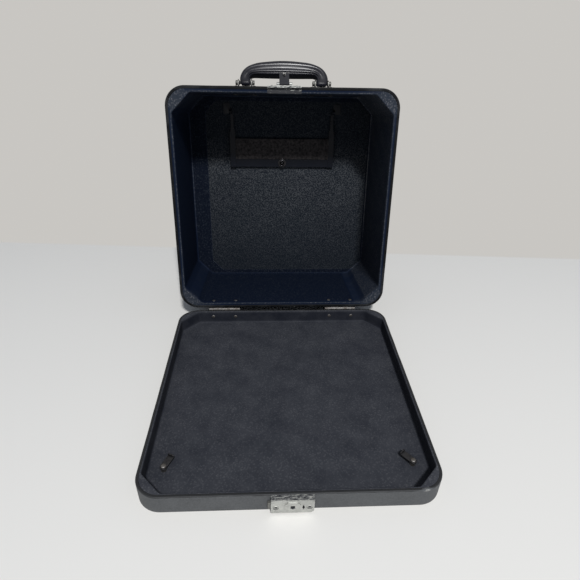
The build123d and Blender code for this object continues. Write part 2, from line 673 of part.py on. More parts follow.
def hasp():
    """Cranked tongue with its catch and finger lip, drawn over the lock and swung up."""
    left = FITTING_X - HASP_WIDTH / 2
    right = FITTING_X + HASP_WIDTH / 2
    inside = LOCK_DEPTH + SEAT_RISE + FIT
    outside = inside + HASP_SHEET
    foot = HASP_Z - HASP_LENGTH
    step = outside - HASP_OUT - HASP_KNUCKLE
    points = [
        (HASP_OUT + HASP_KNUCKLE, HASP_Z),
        (outside, HASP_Z - step),
        (outside, foot),
        (inside, foot),
        (inside, HASP_Z - step - HASP_SHEET / 2),
        (HASP_OUT, HASP_Z - HASP_KNUCKLE),
    ]
    crank = Polygon(*[(FRONT - out, z) for out, z in points], align=None)
    tongue = rod_x(left, right, FRONT - HASP_OUT, HASP_Z, HASP_KNUCKLE)
    tongue += Pos(left, 0, 0) * extrude(Plane.YZ * crank, HASP_WIDTH)
    tongue += front_block(left, right, outside, outside + HASP_LIP, foot, foot + HASP_SHEET)
    tongue -= rod_x(left, right, FRONT - HASP_OUT, HASP_Z, HASP_PIN_RADIUS + RUN)
    catch_left = FITTING_X - CATCH_WIDTH / 2
    catch_right = FITTING_X + CATCH_WIDTH / 2
    low = CATCH_Z - CATCH_HEIGHT / 2
    high = CATCH_Z + CATCH_HEIGHT / 2
    neck_end = BOLT_FRONT - CATCH_NECK
    catch = front_block(catch_left, catch_right, neck_end - CATCH_HEAD, inside, low, high)
    notch = BOLT_GRIP + FIT
    catch -= front_block(catch_right - notch, catch_right, neck_end, BOLT_FRONT + FIT, low, high)
    swung = leaned(tongue + catch, HASP_OUT, HASP_Z, 90 + HASP_LEAN)
    return opened(swung)


# ------------------------------------------------------------------ handle
def handle_front(inset, foot):
    """Outline of the handle from the front, about the pivot, without the finger gap."""
    half = HANDLE_SPACING / 2 + POST_WIDTH / 2 - inset
    top = GRIP_REACH - inset
    crown = GRIP_CROWN - inset
    tall = Pos(0, (top - foot) / 2) * Rectangle(2 * half, top + foot)
    body = tall & (Pos(0, top - crown) * Circle(crown))
    shoulders = body.vertices().sort_by(Axis.Y)[-2:]
    return fillet(shoulders, GRIP_SHOULDER - inset)


def finger_gap():
    """Outline between the posts, under the grip."""
    width = HANDLE_SPACING - POST_WIDTH
    top = GRIP_REACH - GRIP_HEIGHT
    gap = Pos(0, top - GRIP_REACH) * Rectangle(width, 2 * GRIP_REACH)
    return fillet(gap.vertices().sort_by(Axis.Y)[-2:], FINGER_ROUND)


def handle_side():
    """Outline of the handle from its end: broad at the grip, narrow around the pin."""
    half = GRIP_DEPTH / 2
    wide = GRIP_REACH - GRIP_HEIGHT / 2
    taper = Polygon((-POST_HEEL, 0), (POST_HEEL, 0), (half, wide), (-half, wide), align=None)
    top = Pos(0, (wide + GRIP_REACH) / 2) * Rectangle(2 * half, GRIP_REACH - wide)
    rounded = fillet(top.vertices().sort_by(Axis.Y)[-2:], GRIP_ROUND)
    return taper + rounded + Circle(POST_HEEL)


def stood_out(sketch, across, depth):
    """Extrude a sketch about the pivot both ways; its Y points out of the lid's front face."""
    normal = (1, 0, 0) if across else (0, 0, -1)
    right = (0, 0, 1) if across else (1, 0, 0)
    origin = (FITTING_X, FRONT - HANDLE_PIVOT, HANDLE_Z)
    return extrude(Plane(origin=origin, x_dir=right, z_dir=normal) * sketch, depth / 2, both=True)


def handle_pose(shape):
    """Lean the upright handle back and open the lid."""
    return opened(leaned(shape, HANDLE_PIVOT, HANDLE_Z, HANDLE_LEAN))


def handle_rods(reach, radius):
    """Bars along the handle's axis, one through each post."""
    y = FRONT - HANDLE_PIVOT
    rods = [rod_x(x - reach, x + reach, y, HANDLE_Z, radius) for x in HANDLE_XS]
    return rods[0] + rods[1]


def core_solid():
    """Steel strap inside the grip, from pin to pin."""
    foot = POST_HEEL - CORE_END
    strap = handle_front(CORE_INSET, foot)
    strap -= Pos(0, -CORE_SHEET) * handle_front(CORE_INSET + CORE_SHEET, foot)
    return stood_out(strap, False, CORE_DEPTH)


def handle_core():
    """Steel strap that carries the load from pin to pin."""
    return handle_pose(core_solid() - handle_rods(POST_WIDTH, HANDLE_PIN_RADIUS + RUN))


def handle_grip():
    """Moulded grip with its two posts, around the strap."""
    solid = stood_out(handle_front(0, POST_HEEL) - finger_gap(), False, GRIP_DEPTH)
    solid &= stood_out(handle_side(), True, HANDLE_SPACING + POST_WIDTH)
    return handle_pose(solid - core_solid() - handle_rods(POST_WIDTH, HANDLE_PIN_RADIUS + RUN))


def handle_pins():
    """Pins through the clevis ears and the posts, headed at both ends, with their collars."""
    pins = handle_rods(HEAD_INSIDE, HANDLE_PIN_RADIUS)
    y = FRONT - HANDLE_PIVOT
    head = (HEAD_INSIDE, HEAD_INSIDE + HANDLE_PIN_HEAD, HANDLE_PIN_HEAD_RADIUS)
    collar = (POST_WIDTH / 2 + FIT, EAR_INSIDE, HANDLE_COLLAR_RADIUS)
    for x in HANDLE_XS:
        for side in (-1, 1):
            for near, far, radius in (head, collar):
                low, high = sorted((x + side * near, x + side * far))
                pins += rod_x(low, high, y, HANDLE_Z, radius)
    return opened(pins)


def handle_clevis(x):
    """Bracket on the lid's front: a plate with two round-ended ears."""
    half = CLEVIS_LENGTH / 2
    tall = CLEVIS_HEIGHT / 2
    y = FRONT - HANDLE_PIVOT
    plate = front_block(x - half, x + half, 0, CLEVIS_SHEET, HANDLE_Z - tall, HANDLE_Z + tall)
    for side in (-1, 1):
        low, high = sorted((x + side * EAR_INSIDE, x + side * EAR_OUTSIDE))
        ear = front_block(
            low, high, 0, HANDLE_PIVOT, HANDLE_Z - CLEVIS_EAR_RADIUS, HANDLE_Z + CLEVIS_EAR_RADIUS
        )
        plate += ear + rod_x(low, high, y, HANDLE_Z, CLEVIS_EAR_RADIUS)
    plate -= handle_rods(EAR_OUTSIDE, HANDLE_PIN_RADIUS)
    return opened(plate - lid_front_rivet_holes())


def handle_backing_plates():
    """Plates inside the lid, behind the handle brackets."""
    half = CLEVIS_LENGTH / 2
    tall = CLEVIS_HEIGHT / 2
    inner = FRONT + LID_SIDE
    plates = [
        block(x - half, x + half, inner, inner + CLEVIS_SHEET, HANDLE_Z - tall, HANDLE_Z + tall)
        for x in HANDLE_XS
    ]
    holes = lid_front_rivet_holes()
    return opened(Compound(children=[plate - holes for plate in plates]))


# ------------------------------------------------------------------ paper holder
def holder_rods(side, inner, outer, radius):
    """Bar along the holder's axis on one side, between two distances from the arm's outside."""
    base = ARM_OUTSIDE
    low, high = sorted((HOLDER_X + side * (base + inner), HOLDER_X + side * (base + outer)))
    return rod_x(low, high, HOLDER_Y, HOLDER_Z, radius)


def holder_arm(side):
    """Side of the frame: narrow arm with a bent ear at the pivot, broad strap at the free end."""
    inside = ARM_OUTSIDE - ARM_WIDTH
    outer = HOLDER_WIDTH / 2
    strap_start = HOLDER_Y + ARM_LENGTH
    half = HOLDER_SHEET / 2
    points = [
        (ARM_OUTSIDE, HOLDER_Y),
        (ARM_OUTSIDE, strap_start),
        (outer, strap_start + STRAP_WIDTH),
        (outer, HOLDER_END),
        (outer - STRAP_WIDTH, HOLDER_END),
        (outer - STRAP_WIDTH, strap_start + STRAP_WIDTH / 2),
        (inside, strap_start),
        (inside, HOLDER_Y + HOLDER_EAR_RADIUS),
        (ARM_OUTSIDE - HOLDER_SHEET, HOLDER_Y + HOLDER_EAR_RADIUS),
        (ARM_OUTSIDE - HOLDER_SHEET, HOLDER_Y),
    ]
    outline = Polygon(*[(HOLDER_X + side * x, y) for x, y in points], align=None)
    arm = slab(outline, HOLDER_Z - half, HOLDER_Z + half)
    arm += holder_rods(side, -HOLDER_SHEET, 0, HOLDER_EAR_RADIUS)
    arm -= holder_rods(side, -ARM_WIDTH, FIT, HOLDER_PIN_RADIUS + RUN)
    return opened(arm)


def holder_bar():
    """Cross bar behind the free ends of the arms."""
    low = HOLDER_Z + HOLDER_SHEET / 2
    half = HOLDER_WIDTH / 2
    front = HOLDER_END - BAR_WIDTH
    bar = block(HOLDER_X - half, HOLDER_X + half, front, HOLDER_END, low, low + HOLDER_SHEET)
    return opened(bar - stud_hole())


def holder_board():
    """Fibre board behind the straps, next to the bar."""
    low = HOLDER_Z + HOLDER_SHEET / 2
    half = HOLDER_WIDTH / 2 - STRAP_WIDTH / 2
    end = HOLDER_END - BAR_WIDTH - FIT / 2
    return opened(
        block(HOLDER_X - half, HOLDER_X + half, end - BOARD_LENGTH, end, low, low + BOARD_SHEET)
    )


def stud_hole():
    """Hole for the stud through the bar and the snap cap."""
    y = HOLDER_END - BAR_WIDTH / 2
    return rod_z(HOLDER_Z - LINING - SNAP_SHEET, CEILING, HOLDER_X, y, STUD_RADIUS + SNAP_CLEARANCE)


def snap_cap():
    """Round cap of the snap, on the front of the bar."""
    y = HOLDER_END - BAR_WIDTH / 2
    top = HOLDER_Z + HOLDER_SHEET / 2
    return opened(rod_z(top - SNAP_SHEET, top, HOLDER_X, y, SNAP_RADIUS) - stud_hole())


def snap_stud():
    """Stud on the panel with the collar that the bar rests on."""
    y = HOLDER_END - BAR_WIDTH / 2
    bar_back = HOLDER_Z + HOLDER_SHEET * 1.5
    tip = HOLDER_Z + HOLDER_SHEET / 2 - SNAP_SHEET - STUD_REACH
    stud = rod_z(bar_back + FIT, CEILING, HOLDER_X, y, STUD_COLLAR)
    stud += rod_z(tip + STUD_RADIUS, CEILING, HOLDER_X, y, STUD_RADIUS)
    stud += Pos(HOLDER_X, y, tip + STUD_RADIUS) * Sphere(STUD_RADIUS)
    return opened(stud)


def holder_bracket(side):
    """Bracket on the panel: a foot, and an ear outside the arm."""
    near = ARM_OUTSIDE + FIT
    foot = sorted((HOLDER_X + side * near, HOLDER_X + side * (near + BRACKET_FOOT)))
    ear = sorted((HOLDER_X + side * near, HOLDER_X + side * (near + BRACKET_SHEET)))
    back = HOLDER_Y + HOLDER_EAR_RADIUS
    front = back - BRACKET_LENGTH
    bracket = block(*foot, front, back, CEILING - BRACKET_SHEET, CEILING)
    bracket += block(*ear, HOLDER_Y - HOLDER_EAR_RADIUS, back, HOLDER_Z, CEILING)
    bracket += holder_rods(side, FIT, FIT + BRACKET_SHEET, HOLDER_EAR_RADIUS)
    return bracket - holder_rods(side, 0, FIT + BRACKET_FOOT, HOLDER_PIN_RADIUS)


def holder_brackets():
    """Both brackets."""
    return opened(Compound(children=[holder_bracket(side) for side in (-1, 1)]))


def holder_pins():
    """Pins of the frame, headed at both ends."""
    pins = []
    for side in (-1, 1):
        inner = -HOLDER_SHEET - FIT / 2
        outer = FIT + BRACKET_SHEET
        pin = holder_rods(side, inner, outer, HOLDER_PIN_RADIUS)
        pin += holder_rods(side, inner - HOLDER_PIN_HEAD, inner, HOLDER_PIN_HEAD_RADIUS)
        pin += holder_rods(side, outer, outer + HOLDER_PIN_HEAD, HOLDER_PIN_HEAD_RADIUS)
        pins.append(pin)
    return opened(Compound(children=pins))


# ------------------------------------------------------------------ assembly
SIDES = {"left": -1, "right": 1}
WALLS = {"front": (0, -1), "rear": (0, 1), "left": (-1, 0), "right": (1, 0)}
POSTS = {
    "front_left": (-1, -1),
    "front_right": (1, -1),
    "rear_left": (-1, 1),
    "rear_right": (1, 1),
}


def tray_parts():
    """Every node of the tray."""
    parts = {
        "base_bottom_sheet": base_bottom_sheet(),
        "base_board": base_board(),
        "base_cover": base_cover(),
        "base_lining": base_lining(),
        "hold_down_screws": hold_down_screws(),
        "base_hinge_rivets": base_hinge_rivets(),
        "lock_face": lock_face(),
        "lock_back": lock_back(),
        "lock_bolt": lock_bolt(),
        "lock_spring": lock_spring(),
        "key_barrel": key_barrel(),
        "lock_rivets": lock_rivets(),
    }
    for name, place in WALLS.items():
        parts[f"base_rail_{name}"] = base_wall(*place)
    for name, place in POSTS.items():
        parts[f"base_post_{name}"] = base_wall(*place)
    for name, side in SIDES.items():
        parts[f"hold_down_clip_{name}"] = hold_down_clip(side)
        parts[f"base_hinge_leaf_{name}"] = base_hinge_leaf(side * HINGE_SPACING / 2)
        parts[f"hinge_pin_{name}"] = hinge_pin(side * HINGE_SPACING / 2)
    return parts


def lid_parts():
    """Every node of the lid and of what hangs on it."""
    parts = {
        "lid_panel": lid_panel(),
        "lid_cover": lid_cover(),
        "lid_wall_lining": lid_wall_lining(),
        "lid_panel_lining": lid_panel_lining(),
        "lid_rivets": lid_rivets(),
        "strike_plate": strike_plate(),
        "hasp_pin": hasp_pin(),
        "hasp": hasp(),
        "handle_core": handle_core(),
        "handle_grip": handle_grip(),
        "handle_pins": handle_pins(),
        "handle_backing_plates": handle_backing_plates(),
        "holder_bar": holder_bar(),
        "holder_board": holder_board(),
        "holder_brackets": holder_brackets(),
        "holder_pins": holder_pins(),
        "snap_cap": snap_cap(),
        "snap_stud": snap_stud(),
    }
    for name, place in WALLS.items():
        parts[f"lid_wall_{name}"] = lid_wall(*place)
    for name, place in POSTS.items():
        parts[f"lid_post_{name}"] = lid_wall(*place)
    for name, side in SIDES.items():
        parts[f"lid_hinge_leaf_{name}"] = lid_hinge_leaf(side * HINGE_SPACING / 2)
        parts[f"handle_clevis_{name}"] = handle_clevis(FITTING_X + side * HANDLE_SPACING / 2)
        parts[f"holder_arm_{name}"] = holder_arm(side)
    return parts


def main():
    """Write one STEP file per node."""
    os.makedirs("parts", exist_ok=True)
    for name, shape in {**tray_parts(), **lid_parts()}.items():
        export_step(shape, f"parts/{name}.step")


if __name__ == "__main__":
    main()
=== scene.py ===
"""Looks of the portable typewriter case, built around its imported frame."""

import logging
import math
from collections.abc import Callable, Sequence
from dataclasses import dataclass, field
from enum import Enum
from functools import cached_property

import bmesh
import bpy
import numpy as np
from bpy.types import Material, Node, NodeSocket, Object, World
from mathutils import Matrix, Vector
from mathutils.geometry import tessellate_polygon
from numpy.typing import ArrayLike, NDArray


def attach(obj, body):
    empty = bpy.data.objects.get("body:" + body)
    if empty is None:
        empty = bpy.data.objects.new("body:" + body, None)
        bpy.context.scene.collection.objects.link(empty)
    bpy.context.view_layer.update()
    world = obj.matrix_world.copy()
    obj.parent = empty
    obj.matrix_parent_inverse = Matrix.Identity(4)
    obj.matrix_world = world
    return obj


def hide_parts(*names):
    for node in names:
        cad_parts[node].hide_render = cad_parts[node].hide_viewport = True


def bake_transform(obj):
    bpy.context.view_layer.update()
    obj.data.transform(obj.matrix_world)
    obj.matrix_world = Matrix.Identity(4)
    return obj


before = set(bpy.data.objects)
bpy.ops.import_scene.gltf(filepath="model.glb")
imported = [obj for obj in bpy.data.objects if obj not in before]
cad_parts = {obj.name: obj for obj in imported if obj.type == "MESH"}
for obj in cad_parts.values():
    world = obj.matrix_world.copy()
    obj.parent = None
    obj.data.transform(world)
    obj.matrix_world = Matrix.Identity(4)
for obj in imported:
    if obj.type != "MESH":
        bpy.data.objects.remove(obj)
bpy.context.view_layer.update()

MM = 0.001
TURN = 2 * math.pi
QUARTER = math.pi / 2
SHARP = 40.0  # degrees above which an edge of a sheet-metal copy is eased
LEG_GROWTH = 0.586  # what a cut corner's leg gains while its outline moves out by one
HIDDEN_LEG = 0.47  # the same over one sheet of the lining
Points = NDArray[np.float64]
Faces = list[tuple[int, ...]]
Triple = tuple[float, float, float]
log = logging.getLogger("typewriter_case")


# ------------------------------------------------------------------ sizes and places
@dataclass(frozen=True)
class CaseSizes:
    """Sizes that several sub-assemblies share, in millimetres and degrees."""

    width: float = 330.0
    depth: float = 332.0
    rim: float = 25.5
    lid_rim: float = 25.8
    lid_top: float = 175.5
    ceiling: float = 169.7
    corner: float = 28.0
    sheet: float = 0.8
    hinge_x: float = 95.0
    hinge_out: float = 2.5
    open_angle: float = 100.5863
    fitting_x: float = 0.6
    hasp_out: float = 3.5
    hasp_z: float = 28.8
    hasp_angle: float = 122.0
    handle_out: float = 6.0
    handle_z: float = 69.5
    handle_angle: float = 20.0
    handle_spacing: float = 112.0

    @property
    def front(self) -> float:
        """Y of the front face."""
        return -self.depth / 2

    @property
    def rear(self) -> float:
        """Y of the rear face."""
        return self.depth / 2

    @property
    def right(self) -> float:
        """X of the right face."""
        return self.width / 2


CASE = CaseSizes()


def turned_about_x(points: Points, y: float, z: float, degrees: float) -> Points:
    """Turn points about a line along X.

    Formula: the (y, z) offset from the line is multiplied by the turning matrix of the angle.

    Args:
        points: array whose last axis is x, y, z.
        y: place of the line.
        z: place of the line.
        degrees: right-handed angle about +X.

    Returns:
        The turned points.
    """
    c, s = math.cos(math.radians(degrees)), math.sin(math.radians(degrees))
    dy, dz = points[..., 1] - y, points[..., 2] - z
    return np.stack([points[..., 0], y + c * dy - s * dz, z + s * dy + c * dz], axis=-1)


def closed_again(points: Points) -> Points:
    """Points of the open lid, back on the closed case."""
    return turned_about_x(points, CASE.rear + CASE.hinge_out, CASE.rim, CASE.open_angle)


class Place(Enum):
    """Where a piece hangs; every piece is worked out on the closed case and then set in place."""

    TRAY = "tray"
    LID = "lid"
    HASP = "hasp"
    HANDLE = "handle"

    def set(self, points: Points) -> Points:
        """Move points of the closed case to where this sub-assembly rests.

        Args:
            points: array whose last axis is x, y, z, in millimetres.

        Returns:
            The points at rest.
        """
        if self is Place.TRAY:
            return points
        if self is Place.HASP:
            y = CASE.front - CASE.hasp_out
            points = turned_about_x(points, y, CASE.hasp_z, -CASE.hasp_angle)
        if self is Place.HANDLE:
            y = CASE.front - CASE.handle_out
            points = turned_about_x(points, y, CASE.handle_z, -CASE.handle_angle)
        return turned_about_x(points, CASE.rear + CASE.hinge_out, CASE.rim, -CASE.open_angle)


# ------------------------------------------------------------------ curves and outlines
def ramp(value: Points, low: float, high: float) -> Points:
    """0 on the low side, 1 on the high side and straight between; high may be the lesser."""
    return np.clip((value - low) / (high - low), 0, 1)


def bell(value: Points, middle: float, width: float) -> Points:
    """Bell curve: e to the power of minus the square of the distance over the width."""
    return np.exp(-(((value - middle) / width) ** 2))


def quarter(radius: float, count: int) -> Points:
    """Quarter circle as pairs of radius times (1 - cos a) and radius times (1 - sin a)."""
    a = np.linspace(0, QUARTER, count)
    return radius * np.stack([1 - np.cos(a), 1 - np.sin(a)], -1)


def arc(x: float, y: float, radius: float, angles: Points) -> Points:
    """Points of a circle: its middle plus radius times (cos a, sin a)."""
    return np.stack([x + radius * np.cos(angles), y + radius * np.sin(angles)], -1)


def run_length(path: Points) -> Points:
    """Length of a path up to each of its points."""
    return np.concatenate([[0], np.cumsum(np.linalg.norm(np.diff(path, axis=0), axis=1))])


class Corner(Enum):
    """How the corners of a ring are cut."""

    ROUND = "round"
    CUT = "cut"


@dataclass(frozen=True)
class Ring:
    """Rectangle with cut or rounded corners, always sampled by the same number of points."""

    half_x: float
    half_y: float
    reach: float
    corner: Corner = Corner.ROUND
    side_points: int = 40
    corner_points: int = 15
    softness: int = 0

    def points(self) -> Points:
        """Sample the outline, anticlockwise from the right side's upper end.

        Formula: a corner is a quarter circle or a straight cut, mirrored into the four quarters,
        and a side runs between two corners with its points closer together near the ends.

        Returns:
            Array of x, y.
        """
        q = np.linspace(0, 1, self.corner_points)[:, None]
        if self.corner is Corner.ROUND:
            cut = np.hstack([np.cos(q * QUARTER) - 1, np.sin(q * QUARTER) - 1]) * self.reach
        else:
            cut = np.hstack([-q, q - 1]) * self.reach
        first = cut + (self.half_x, self.half_y)
        quarters = [first, first[::-1] * (-1, 1), -first, first[::-1] * (1, -1)]
        t = np.linspace(0, 1, self.side_points + 2)[1:-1, None]
        t = 0.5 - 0.5 * np.cos(math.pi * t)
        runs = []
        for here, after in zip(quarters, quarters[1:] + quarters[:1]):
            runs += [here, here[-1] * (1 - t) + after[0] * t]
        ring = np.concatenate(runs)
        for _ in range(self.softness):
            ring = (np.roll(ring, 1, 0) + 2 * ring + np.roll(ring, -1, 0)) / 4
        return ring


def case_ring(inset: float) -> Points:
    """Outline of the case from above, moved in by an inset."""
    return Ring(CASE.right - inset, CASE.rear - inset, CASE.corner - inset).points()


def bay_ring(side: float, leg: float) -> Points:
    """Outline of the room inside walls this thick, with its corners cut off by the posts."""
    return Ring(CASE.right - side, CASE.rear - side, leg, Corner.CUT, softness=3).points()


def at_height(ring: Points, z: float) -> Points:
    """Put a flat outline at a height."""
    return np.column_stack([ring, np.full(len(ring), z)])


def wrapped(profile: Points) -> Points:
    """Rings of the case's outline, one for each (inset, height) of a profile."""
    return np.stack([at_height(case_ring(inset), z) for inset, z in profile])


def grown(outline: Points, shares: Sequence[float], z: float) -> Points:
    """Rings at one height, each the outline times its share."""
    return np.stack([at_height(outline * share, z) for share in shares])


@dataclass
class Rings:
    """Rings of a lining, gathered in order with their wear marks."""

    rows: list[Points] = field(default_factory=list)
    marks: list[Points] = field(default_factory=list)

    def between(
        self, first: Points, last: Points, shares: ArrayLike, z: ArrayLike, mark: ArrayLike
    ) -> None:
        """Add rings between two outlines.

        Formula: a ring is the first outline plus its share of the way to the last one.

        Args:
            first: outline at share 0.
            last: outline at share 1.
            shares: share of every ring, or of each.
            z: height of every ring, or of each.
            mark: wear mark of every ring, of each, or of each point of each.
        """
        shares, z = np.broadcast_arrays(np.atleast_1d(shares), z)
        flat = first + (last - first) * shares[:, None, None]
        mark = np.asarray(mark, float)
        mark = mark[:, None] if mark.ndim == 1 else mark
        self.rows.append(np.dstack([flat, np.broadcast_to(z[:, None], flat.shape[:2])]))
        self.marks.append(np.broadcast_to(mark, flat.shape[:2]))

    def joined(self) -> tuple[Points, Points]:
        """All rings and all marks."""
        return np.concatenate(self.rows), np.concatenate(self.marks)


def ripple(points: Points, amount: float, scale: float, seed: int, waves: int = 8) -> Points:
    """Smooth uneven lift of a hand-made surface.

    Formula: a sum of plane sine waves with seeded directions and phases, divided by the square
    root of their number.

    Args:
        points: array of x, y, z in millimetres.
        amount: usual height of the lift.
        scale: usual length of a wave.
        seed: picks the waves.
        waves: how many there are.

    Returns:
        One value for each point.
    """
    rng = np.random.default_rng(seed)
    ways = rng.normal(size=(waves, 3))
    ways *= (TURN / scale) / np.linalg.norm(ways, axis=1, keepdims=True)
    phases = rng.uniform(0, TURN, waves)
    return amount * np.sin(points @ ways.T + phases).sum(-1) / math.sqrt(waves)


# ------------------------------------------------------------------ meshes
def linked(name: str, data: bpy.types.ID) -> Object:
    """New object in the scene.

    Args:
        name: its name.
        data: its mesh, camera or lamp.

    Returns:
        The object.
    """
    thing = bpy.data.objects.new(name, data)
    bpy.context.scene.collection.objects.link(thing)
    return thing


def tube_faces(count: int, columns: int, ring: bool) -> Faces:
    """Quads of a tube of rows whose columns close on themselves.

    Formula: face (i, j) joins points (i, j), (i, j+1), (i+1, j+1) and (i+1, j), with j taken
    round the columns, and i round the rows where these close too.

    Args:
        count: number of rows.
        columns: points in a row.
        ring: whether the last row joins the first one.

    Returns:
        The corners of each quad.
    """
    i, j = np.meshgrid(np.arange(count - (not ring)), np.arange(columns), indexing="ij")
    here, after, beside = i * columns, (i + 1) % count * columns, (j + 1) % columns
    quads = np.stack([here + j, here + beside, after + beside, after + j], -1)
    return [tuple(quad) for quad in quads.reshape(-1, 4).tolist()]


@dataclass
class Shape:
    """Closed surfaces gathered into one mesh, in millimetres on the closed case."""

    points: list[Points] = field(default_factory=list)
    faces: Faces = field(default_factory=list)
    wear_and_painted_light: list[Points] = field(default_factory=list)
    count: int = 0

    def add(self, points: Points, faces: Faces, wear_and_painted_light: Points | None) -> "Shape":
        """Add one closed surface and turn its faces outwards.

        Formula: the signed volume is the sum of a . (b x c) / 6 over the triangles; where it is
        negative every face is reversed.

        Args:
            points: array of x, y, z.
            faces: corners of each face, three or four of them.
            wear_and_painted_light: one value for each point, or None.

        Returns:
            This shape.
        """
        fans = [(f[0], f[i], f[i + 1]) for f in faces for i in range(1, len(f) - 1)]
        a, b, c = (points[np.array(fans)[:, i]] - points.mean(0) for i in range(3))
        if np.einsum("ij,ij->i", a, np.cross(b, c)).sum() < 0:
            faces = [f[::-1] for f in faces]
        self.faces += [tuple(i + self.count for i in f) for f in faces]
        self.points.append(points)
        self.wear_and_painted_light.append(np.zeros(len(points)) if wear_and_painted_light is None else wear_and_painted_light)
        self.count += len(points)
        return self

    def lattice(self, rows: Points, ring: bool = False, wear_and_painted_light: Points | None = None) -> "Shape":
        """Add a tube of rows, which close too or end in a fan around their middle.

        Args:
            rows: array of rows x columns x 3.
            ring: whether the last row joins the first one.
            wear_and_painted_light: array of rows x columns, or None.

        Returns:
            This shape.
        """
        count, columns = rows.shape[:2]
        faces = tube_faces(count, columns, ring)
        points = rows.reshape(-1, 3)
        marks = None if wear_and_painted_light is None else np.asarray(wear_and_painted_light, float).reshape(-1)
        if not ring:
            first, last = len(points), len(points) + 1
            points = np.concatenate([points, [rows[0].mean(0), rows[-1].mean(0)]])
            if marks is not None:
                marks = np.concatenate([marks, [marks[0], marks[-1]]])
            around = np.arange(columns)
            after = (around + 1) % columns
            end = (count - 1) * columns
            faces += list(zip([first] * columns, after.tolist(), around.tolist()))
            faces += list(zip([last] * columns, (end + around).tolist(), (end + after).tolist()))
        return self.add(points, faces, marks)

    def plate(self, outline: Points, low: float, high: float, edge: float) -> "Shape":
        """Add a flat plate with rounded edges.

        Formula: the outline is stacked along the thickness; near each face it moves in along its
        own normals by edge times (1 - cos a) as it rises by edge times (1 - sin a).

        Args:
            outline: array of x, y, in order round the plate.
            low: height of the lower face.
            high: height of the upper face.
            edge: radius of the edges.

        Returns:
            This shape.
        """
        ahead = np.roll(outline, -1, 0) - outline
        behind = outline - np.roll(outline, 1, 0)
        ahead /= np.linalg.norm(ahead, axis=1, keepdims=True)
        behind /= np.linalg.norm(behind, axis=1, keepdims=True)
        normal = np.stack([ahead[:, 1] + behind[:, 1], -ahead[:, 0] - behind[:, 0]], -1)
        normal /= (1 + (ahead * behind).sum(1, keepdims=True)).clip(0.3)
        x, y = outline.T
        sense = np.sign((x * np.roll(y, -1) - np.roll(x, -1) * y).sum())
        rise, fall = quarter(edge, 4).T
        levels = zip(np.concatenate([fall, rise]), np.concatenate([low + rise, high - fall]))
        rows = np.stack([at_height(outline - sense * normal * i, z) for i, z in levels])
        count, columns = rows.shape[:2]
        flat = rows[0, :, :2]
        cap = [tuple(t) for t in tessellate_polygon([[Vector((*p, 0)) for p in flat]])]
        p, q, r = (flat[np.array(cap)[:, k]] for k in range(3))
        area = ((q - p)[:, 0] * (r - p)[:, 1] - (q - p)[:, 1] * (r - p)[:, 0]).sum()
        down = [t[::-1] for t in cap] if area * sense > 0 else cap
        start = (count - 1) * columns
        caps = down + [tuple(start + k for k in t[::-1]) for t in down]
        return self.add(rows.reshape(-1, 3), tube_faces(count, columns, False) + caps, None)

    def lathe(
        self,
        profile: ArrayLike,
        centre: Triple,
        axis: Triple,
        columns: int = 28,
        wear_and_painted_light: Points | None = None,
    ) -> "Shape":
        """Add a turned piece.

        Formula: each (radius, height) of the profile goes round the axis as radius times
        (cos a, sin a), lifted by the height.

        Args:
            profile: array of radius and height.
            centre: where the axis starts.
            axis: direction of the axis.
            columns: points round the axis.
            wear_and_painted_light: one value for each point of the profile, or None.

        Returns:
            This shape.
        """
        axis = np.asarray(axis, float) / np.linalg.norm(axis)
        side = np.cross(axis, (0.0, 0.0, 1.0) if abs(axis[2]) < 0.9 else (1.0, 0.0, 0.0))
        side /= np.linalg.norm(side)
        other = np.cross(axis, side)
        a = np.linspace(0, TURN, columns, endpoint=False)[None, :, None]
        radius, height = (np.asarray(profile, float)[:, k, None, None] for k in range(2))
        rows = centre + radius * (np.cos(a) * side + np.sin(a) * other) + height * axis
        marks = None if wear_and_painted_light is None else np.repeat(wear_and_painted_light[:, None], columns, axis=1)
        return self.lattice(rows, wear_and_painted_light=marks)

    def strip(
        self,
        path: Points,
        across: Triple,
        half_width: Points,
        half_sheet: float,
        wear_and_painted_light: Points | None = None,
        edge: float = 0.35,
    ) -> "Shape":
        """Add a bent strip of sheet metal.

        Formula: a rounded rectangle of the strip's width and thickness is carried along the
        path; its second side is the cross product of the path's direction and the width.

        Args:
            path: centre line, array of x, y, z.
            across: direction of the width.
            half_width: half of the width at each point of the path.
            half_sheet: half of the thickness.
            wear_and_painted_light: one value for each point of the path, or None.
            edge: radius of the edges, at most half_sheet.

        Returns:
            This shape.
        """
        along = np.gradient(path, axis=0)
        along /= np.linalg.norm(along, axis=1, keepdims=True)
        across = np.asarray(across, float) / np.linalg.norm(across)
        normal = np.cross(along, across)
        turn = arc(0, 0, 1, np.linspace(0, QUARTER, 5))
        signs = np.array([(1, 1), (-1, 1), (-1, -1), (1, -1)])
        section = edge * np.concatenate([turn, turn[::-1], turn, turn[::-1]])
        sign = np.repeat(signs, len(turn), axis=0)
        wide = (half_width[:, None] - edge + section[:, 0]) * sign[:, 0]
        thick = (half_sheet - edge + section[:, 1]) * sign[:, 1]
        rows = path[:, None] + wide[..., None] * across + thick[None, :, None] * normal[:, None]
        marks = None if wear_and_painted_light is None else np.repeat(wear_and_painted_light[:, None], rows.shape[1], axis=1)
        return self.lattice(rows, wear_and_painted_light=marks)

    def piece(self, name: str, place: Place, edges: float | None = None) -> Object:
        """Make the Blender object, at the origin and with its place in its mesh.

        Args:
            name: name of the piece.
            place: what it hangs on.
            edges: angle in degrees above which an edge is shaded sharp, or None.

        Returns:
            The new object.
        """
        mesh = bpy.data.meshes.new(name)
        points = place.set(np.concatenate(self.points)) * MM
        mesh.from_pydata(points.tolist(), [], self.faces)
        mesh.shade_smooth()
        store_marks(mesh, np.concatenate(self.wear_and_painted_light))
        if edges is not None:
            mesh.set_sharp_from_angle(angle=math.radians(edges))
        mesh.update()
        return linked(name, mesh)


